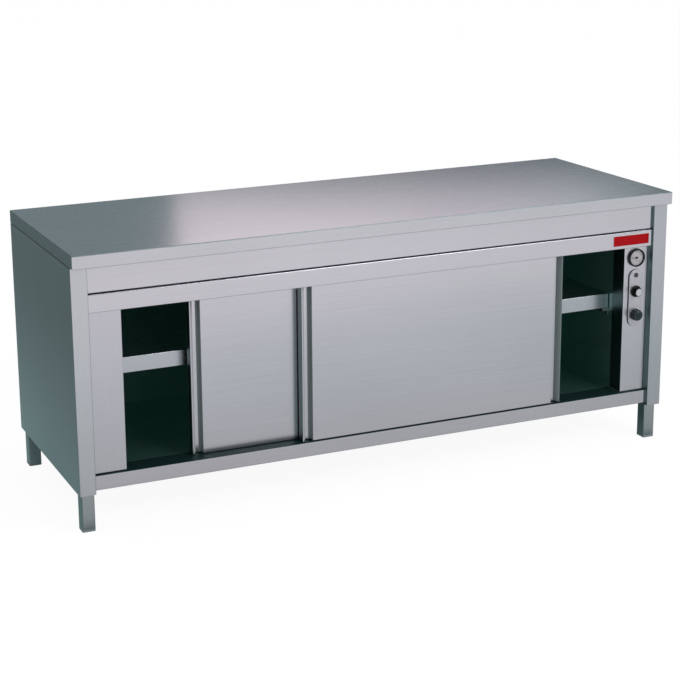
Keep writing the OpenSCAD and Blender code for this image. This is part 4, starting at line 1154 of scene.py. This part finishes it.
# %% Switch knob
drum_r, drum_z, drum_y, _ = round_size("switch_knob")
drum_h = plate_y - drum_y
drum_rounding, hollow_start = 2.6 * MM, 4 * MM
taper = [(drum_r - 0.05 * MM * k, hollow_start + 1.7 * MM * k) for k in range(7)]
round_end = arc(drum_r - 3.2 * MM, drum_h - drum_rounding, drum_rounding, 15, 90, 6)
dished_face = [(drum_r * 0.6, drum_h - 0.2 * MM), (drum_r * 0.5, drum_h - 0.8 * MM),
               (0, drum_h - 0.8 * MM)]
drum = turned(knob_back(drum_r) + taper + round_end + dished_face, plate_y, drum_z, 144,
              knob_ripple(12, 1.5 * MM, hollow_start, drum_h + MM))
add_piece("switch_drum", [drum], switch_plastic, "switch_knob", ["switch_knob"])
add_piece("switch_pointer", [pointer(drum_z, drum_r * 0.55, drum_r - 4.2 * MM, drum_h - 0.15 * MM)],
          mark_white, "switch_knob")

# %% [markdown]
# ## Surfaces for the pieces that keep their construction shape
#
# Flat sheets, blocks, rollers and brackets are already right. They only need their finish,
# which is looked up by name.

# %% Finish the carried-over nodes
finishes = {
    galvanised: ["base_panel"],
    side_steel: ["back_panel"],
    lining: ["cavity_wall_left", "cavity_back", "cavity_floor", "cavity_ceiling"],
    lining_wall: ["cavity_wall_right"],
    zinc: ["base_screws", "shelf_brackets", "door_left_hangers", "door_right_hangers"],
    shelf_steel: ["door_left_liner", "door_right_liner"],
    aluminium: ["door_track"],
    element_metal: ["heating_element"],
    nylon: ["door_guide", "door_left_roller_outer", "door_left_roller_inner",
            "door_right_roller_outer", "door_right_roller_inner"],
    ceramic: ["thermostat_body", "terminal_block"],
    dark_plastic: ["leg_plugs", "switch_body", "fan_frame", "fan_impeller"],
    black_plastic: ["cable_gland"],
    board: ["worktop_board"],
    wool: ["insulation"],
    foam: ["door_left_core", "door_right_core"],
}
for material, names in finishes.items():
    for name in names:
        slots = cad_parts[name].data.materials
        slots.clear()
        slots.append(material)
print("finished nodes:", sum(len(names) for names in finishes.values()))

# %% [markdown]
# ## The studio
#
# Steel has hardly any colour of its own: it shows the room. The room here is a white floor and a white
# sky. Around the cabinet the floor that the steel sees is painted a little darker, a painted shadow of
# the cabinet, and steel shows that as a gradient that gets darker downwards. Grey cards put painted
# shade into the steel's reflections, as flags would: one behind the cabinet, one behind the camera, one
# overhead, and two flat on the floor at the left, which paint the left side's shade and a sheen towards
# its rear. A bright panel hangs behind the worktop and gives it its broad painted sheen. The camera
# doesn't see the cards, only the steel does. One large soft lamp at the front right, turned towards the
# cabinet by the two angles of its direction, is the key light.

# %% Studio sheets
def flat_sheet(name, points, material):
    """One flat quad of the studio."""
    mesh = bpy.data.meshes.new(name)
    mesh.from_pydata(points, [], [(0, 1, 2, 3)])
    piece = bpy.data.objects.new(name, mesh)
    bpy.context.scene.collection.objects.link(piece)
    mesh.materials.append(material)
    return piece


def level_points(x, y, z):
    """A level oblong from two ranges."""
    return [(x[0], y[0], z), (x[1], y[0], z), (x[1], y[1], z), (x[0], y[1], z)]


def upright_points(start, end, low, high):
    """An upright oblong that stands on the line between two plan points."""
    return [(*start, low), (*end, low), (*end, high), (*start, high)]


print("studio sheets ready")

# %% Sums and gradients in a graph
def maths(tree, operation, first, second):
    """One sum of two numbers, each a value or a socket."""
    return node(tree, "ShaderNodeMath", {0: first, 1: second}, operation=operation).outputs[0]


def vector_maths(tree, operation, first, second=(0, 0, 0)):
    """The same for vectors. A length comes out of the other socket."""
    made = node(tree, "ShaderNodeVectorMath", {0: first, 1: second}, operation=operation)
    return made.outputs["Value" if operation == "LENGTH" else "Vector"]


def blend(tree, amount, first, second):
    """Two colours mixed: all the first at 0, all the second at 1."""
    inputs = {"Factor": amount, "A": first, "B": second}
    return node(tree, "ShaderNodeMix", inputs, data_type="RGBA").outputs["Result"]


def gradient(tree, value, span, stops):
    """Colours between stops: each stop is (place, colour), and span is the whole range."""
    start, end = span
    ramp = node(tree, "ShaderNodeValToRGB", {"Fac": spread(tree, value, 0, 1, start, end)})
    marks = ramp.color_ramp.elements
    places = [(at - start) / (end - start) for at, _ in stops]
    marks[0].position, marks[1].position = places[0], places[-1]
    for place in places[1:-1]:
        marks.new(place)
    for mark, (_, colour) in zip(marks, stops):
        mark.color = tuple(colour)[:3] + (1.0,)
    return ramp.outputs["Color"]


def seen_directly(tree, with_reflections=True):
    """1 for rays that come from the camera, or from a mirror or glass, and 0 for the rest."""
    path = node(tree, "ShaderNodeLightPath")
    total = path.outputs["Is Camera Ray"]
    if with_reflections:
        for name in ("Is Glossy Ray", "Is Transmission Ray"):
            total = maths(tree, "MAXIMUM", total, path.outputs[name])
    return total


def bare_material(name):
    """A material whose graph starts empty, and its place on the piece."""
    material = bpy.data.materials.new(name)
    material.use_nodes = True
    tree = material.node_tree
    tree.nodes.clear()
    return material, tree, node(tree, "ShaderNodeTexCoord").outputs["Object"]


print("sums and gradients ready")

# %% [markdown]
# ## The floor that the steel sees
#
# An upright panel mirrors the floor: its foot shows the floor close by, and its top shows the
# floor further out. So the tones run with the distance from the cabinet's outline, which is
# negative under the cabinet itself. They are then multiplied by a tone that runs from left to
# right: one for the near floor and one for the far floor, mixed about two metres out. The camera
# itself sees plain white, and matt surfaces get the soft light of white paper. The sky is plain
# white too, and weaker for matt surfaces than for what mirrors it.

# %% Floor and sky
floor_material, tree, place = bare_material("floor")
outline = (top_high[0], top_high[1], 0.0)
past = vector_maths(tree, "SUBTRACT", vector_maths(tree, "ABSOLUTE", place), outline)
outside = vector_maths(tree, "LENGTH", vector_maths(tree, "MAXIMUM", past))
split = node(tree, "ShaderNodeSeparateXYZ", {0: past})
inside = maths(tree, "MINIMUM", maths(tree, "MAXIMUM", split.outputs[0], split.outputs[1]), 0.0)
reach_out = maths(tree, "ADD", outside, inside)
# Painted tones of the floor that only reflections see: a painted shadow under and near the cabinet, and
# painted light and shade further out.
forward = gradient(tree, reach_out, (-0.35, 4.65), [
    (-0.20, (0.03, 0.07, 0.07)), (-0.03, (0.07, 0.13, 0.13)), (0.06, (0.45, 0.48, 0.48)),
    (0.36, (0.53, 0.55, 0.55)), (1.12, (0.58, 0.66, 0.67)), (1.5, (0.65, 0.70, 0.71)),
    (1.97, (0.77, 0.77, 0.79)), (2.4, (1.20, 1.14, 1.15)), (2.9, (0.65, 0.66, 0.67)),
    (4.5, (0.95, 0.95, 0.96))])
sideways = node(tree, "ShaderNodeSeparateXYZ", {0: place}).outputs["X"]
# Painted light and shade across the floor from left to right, as the steel sees it.
near_right = gradient(tree, sideways, (-2, 4), [
    (-0.3, (1.06, 1.05, 1.05)), (0.0, (1.00, 1.00, 1.00)), (0.35, (0.97, 0.98, 0.98)),
    (0.75, (1.00, 1.00, 1.00)), (1.4, (0.81, 0.86, 0.85)), (2.5, (0.78, 0.83, 0.82))])
far_right = gradient(tree, sideways, (-2, 4), [
    (0.0, (1.02, 1.02, 1.02)), (0.8, (1.05, 1.05, 1.05)), (1.4, (1.06, 1.06, 1.06)),
    (2.2, (1.05, 1.06, 1.06)), (2.55, (0.86, 0.88, 0.88))])
near_until, far_from = 2.05, 2.35
how_far = spread(tree, reach_out, 0, 1, near_until, far_from)
to_the_right = blend(tree, how_far, near_right, far_right)
as_steel_sees = vector_maths(tree, "MULTIPLY", forward, to_the_right)
look = blend(tree, seen_directly(tree, False), as_steel_sees, (1, 1, 1, 1))
floor_glow, glow_share, paper_grey = 1.08, 0.86, (0.8, 0.8, 0.8, 1)
glow = node(tree, "ShaderNodeEmission", {"Color": look, "Strength": floor_glow})
paper = node(tree, "ShaderNodeBsdfDiffuse", {"Color": paper_grey})
shown = maths(tree, "MULTIPLY", seen_directly(tree), glow_share)
mix = node(tree, "ShaderNodeMixShader", {0: shown, 1: paper.outputs[0], 2: glow.outputs[0]})
node(tree, "ShaderNodeOutputMaterial", {"Surface": mix.outputs[0]})
floor_span = (-30, 30)
floor_z = -0.2 * MM
flat_sheet("floor", level_points(floor_span, floor_span, floor_z), floor_material)

world = bpy.data.worlds.new("sky")
bpy.context.scene.world = world
world.use_nodes = True
tree = world.node_tree
background = tree.nodes["Background"]
background.inputs["Color"].default_value = (1, 1, 1, 1)
matt_sky, mirrored_sky = 0.6, 1.0
level = spread(tree, seen_directly(tree), matt_sky, mirrored_sky, 0, 1)
tree.links.new(level, background.inputs["Strength"])
print("floor and sky ready")

# %% Cards and the lamp
def card(name, points, stops, strength=1.0):
    """A card that only reflections see. Its glow runs through stops from left to right."""
    material, tree, place = bare_material(name)
    along = node(tree, "ShaderNodeSeparateXYZ", {0: place}).outputs["X"]
    colour = gradient(tree, along, (stops[0][0], stops[-1][0]), stops)
    glow = node(tree, "ShaderNodeEmission", {"Color": colour, "Strength": strength})
    node(tree, "ShaderNodeOutputMaterial", {"Surface": glow.outputs[0]})
    material.cycles.emission_sampling = "NONE"
    piece = flat_sheet(name, points, material)
    piece.visible_camera = False
    piece.visible_diffuse = False
    piece.visible_shadow = False


# Cards that paint shade into reflections: behind, in front and overhead.
flag_grey, canopy_grey = tone(84, 108, 110), tone(166, 174, 176)
card("rear_flag", upright_points((-9, 6), (14, 6), 0, 6),
     [(-9, tone(130, 143, 145)), (1.6, tone(124, 140, 142)), (3.1, tone(90, 112, 114)),
      (4.4, tone(64, 90, 92)), (14, tone(76, 100, 102))])
card("front_flag", upright_points((-9, -7), (12, -7), 0.8, 5),
     [(-9, flag_grey), (12, flag_grey)])
card("canopy", level_points((-6, 6), (-7, 4), 5), [(-6, canopy_grey), (6, canopy_grey)])
# Painted shade for the left side's reflection; the sheen card paints it a little lighter towards the
# rear.
left_stops = [(-2.2, (98, 114, 113)), (-1.92, (78, 94, 93)), (-1.74, (52, 70, 69)),
              (-1.55, (89, 107, 106)), (-1.37, (103, 122, 122)), (-1.22, (114, 134, 134)),
              (-1.0, (110, 138, 136))]
mat_z, sheen_z, sheen = 2 * MM, 4 * MM, 1.13
card("left_shade_card", level_points((-7, -1.0), (-1.06, 9), mat_z),
     [(x, tone(*colour)) for x, colour in left_stops])
card("left_sheen", [(x, y, sheen_z) for x, y in ((-1.03, 0.3), (-1.9, 3.7), (-1.0, 6), (-1.0, 0.3))],
     [(x, tone(*(sheen * np.array(colour)))) for x, colour in left_stops])
# A glowing panel that only reflections see: a painted sheen on the worktop.
card("softbox", [(-0.05, 1.5, 1.15), (2.35, 1.5, 1.37), (2.35, 1.5, 2.3), (-0.05, 1.5, 2.3)],
     [(-0.05, (0.98, 0.88, 0.91)), (0.9, (0.99, 0.90, 0.94)), (1.2, (0.93, 0.84, 0.90)),
      (1.5, (0.92, 0.85, 0.92)), (1.8, (0.84, 0.84, 0.88)), (2.1, (0.54, 0.60, 0.62)),
      (2.35, (0.34, 0.39, 0.40))], strength=1.1)

key_place, key_aim = np.array((2.5, -4.5, 3.6)), np.array((0, 0, 0.5))
key_data = bpy.data.lights.new("key", "AREA")
key_data.size = 2.5
key_data.energy = 120
key = bpy.data.objects.new("key", key_data)
bpy.context.scene.collection.objects.link(key)
key.location = key_place
x, y, z = key_place - key_aim
key.rotation_euler = (math.atan2(math.hypot(x, y), z), 0, math.atan2(x, -y))
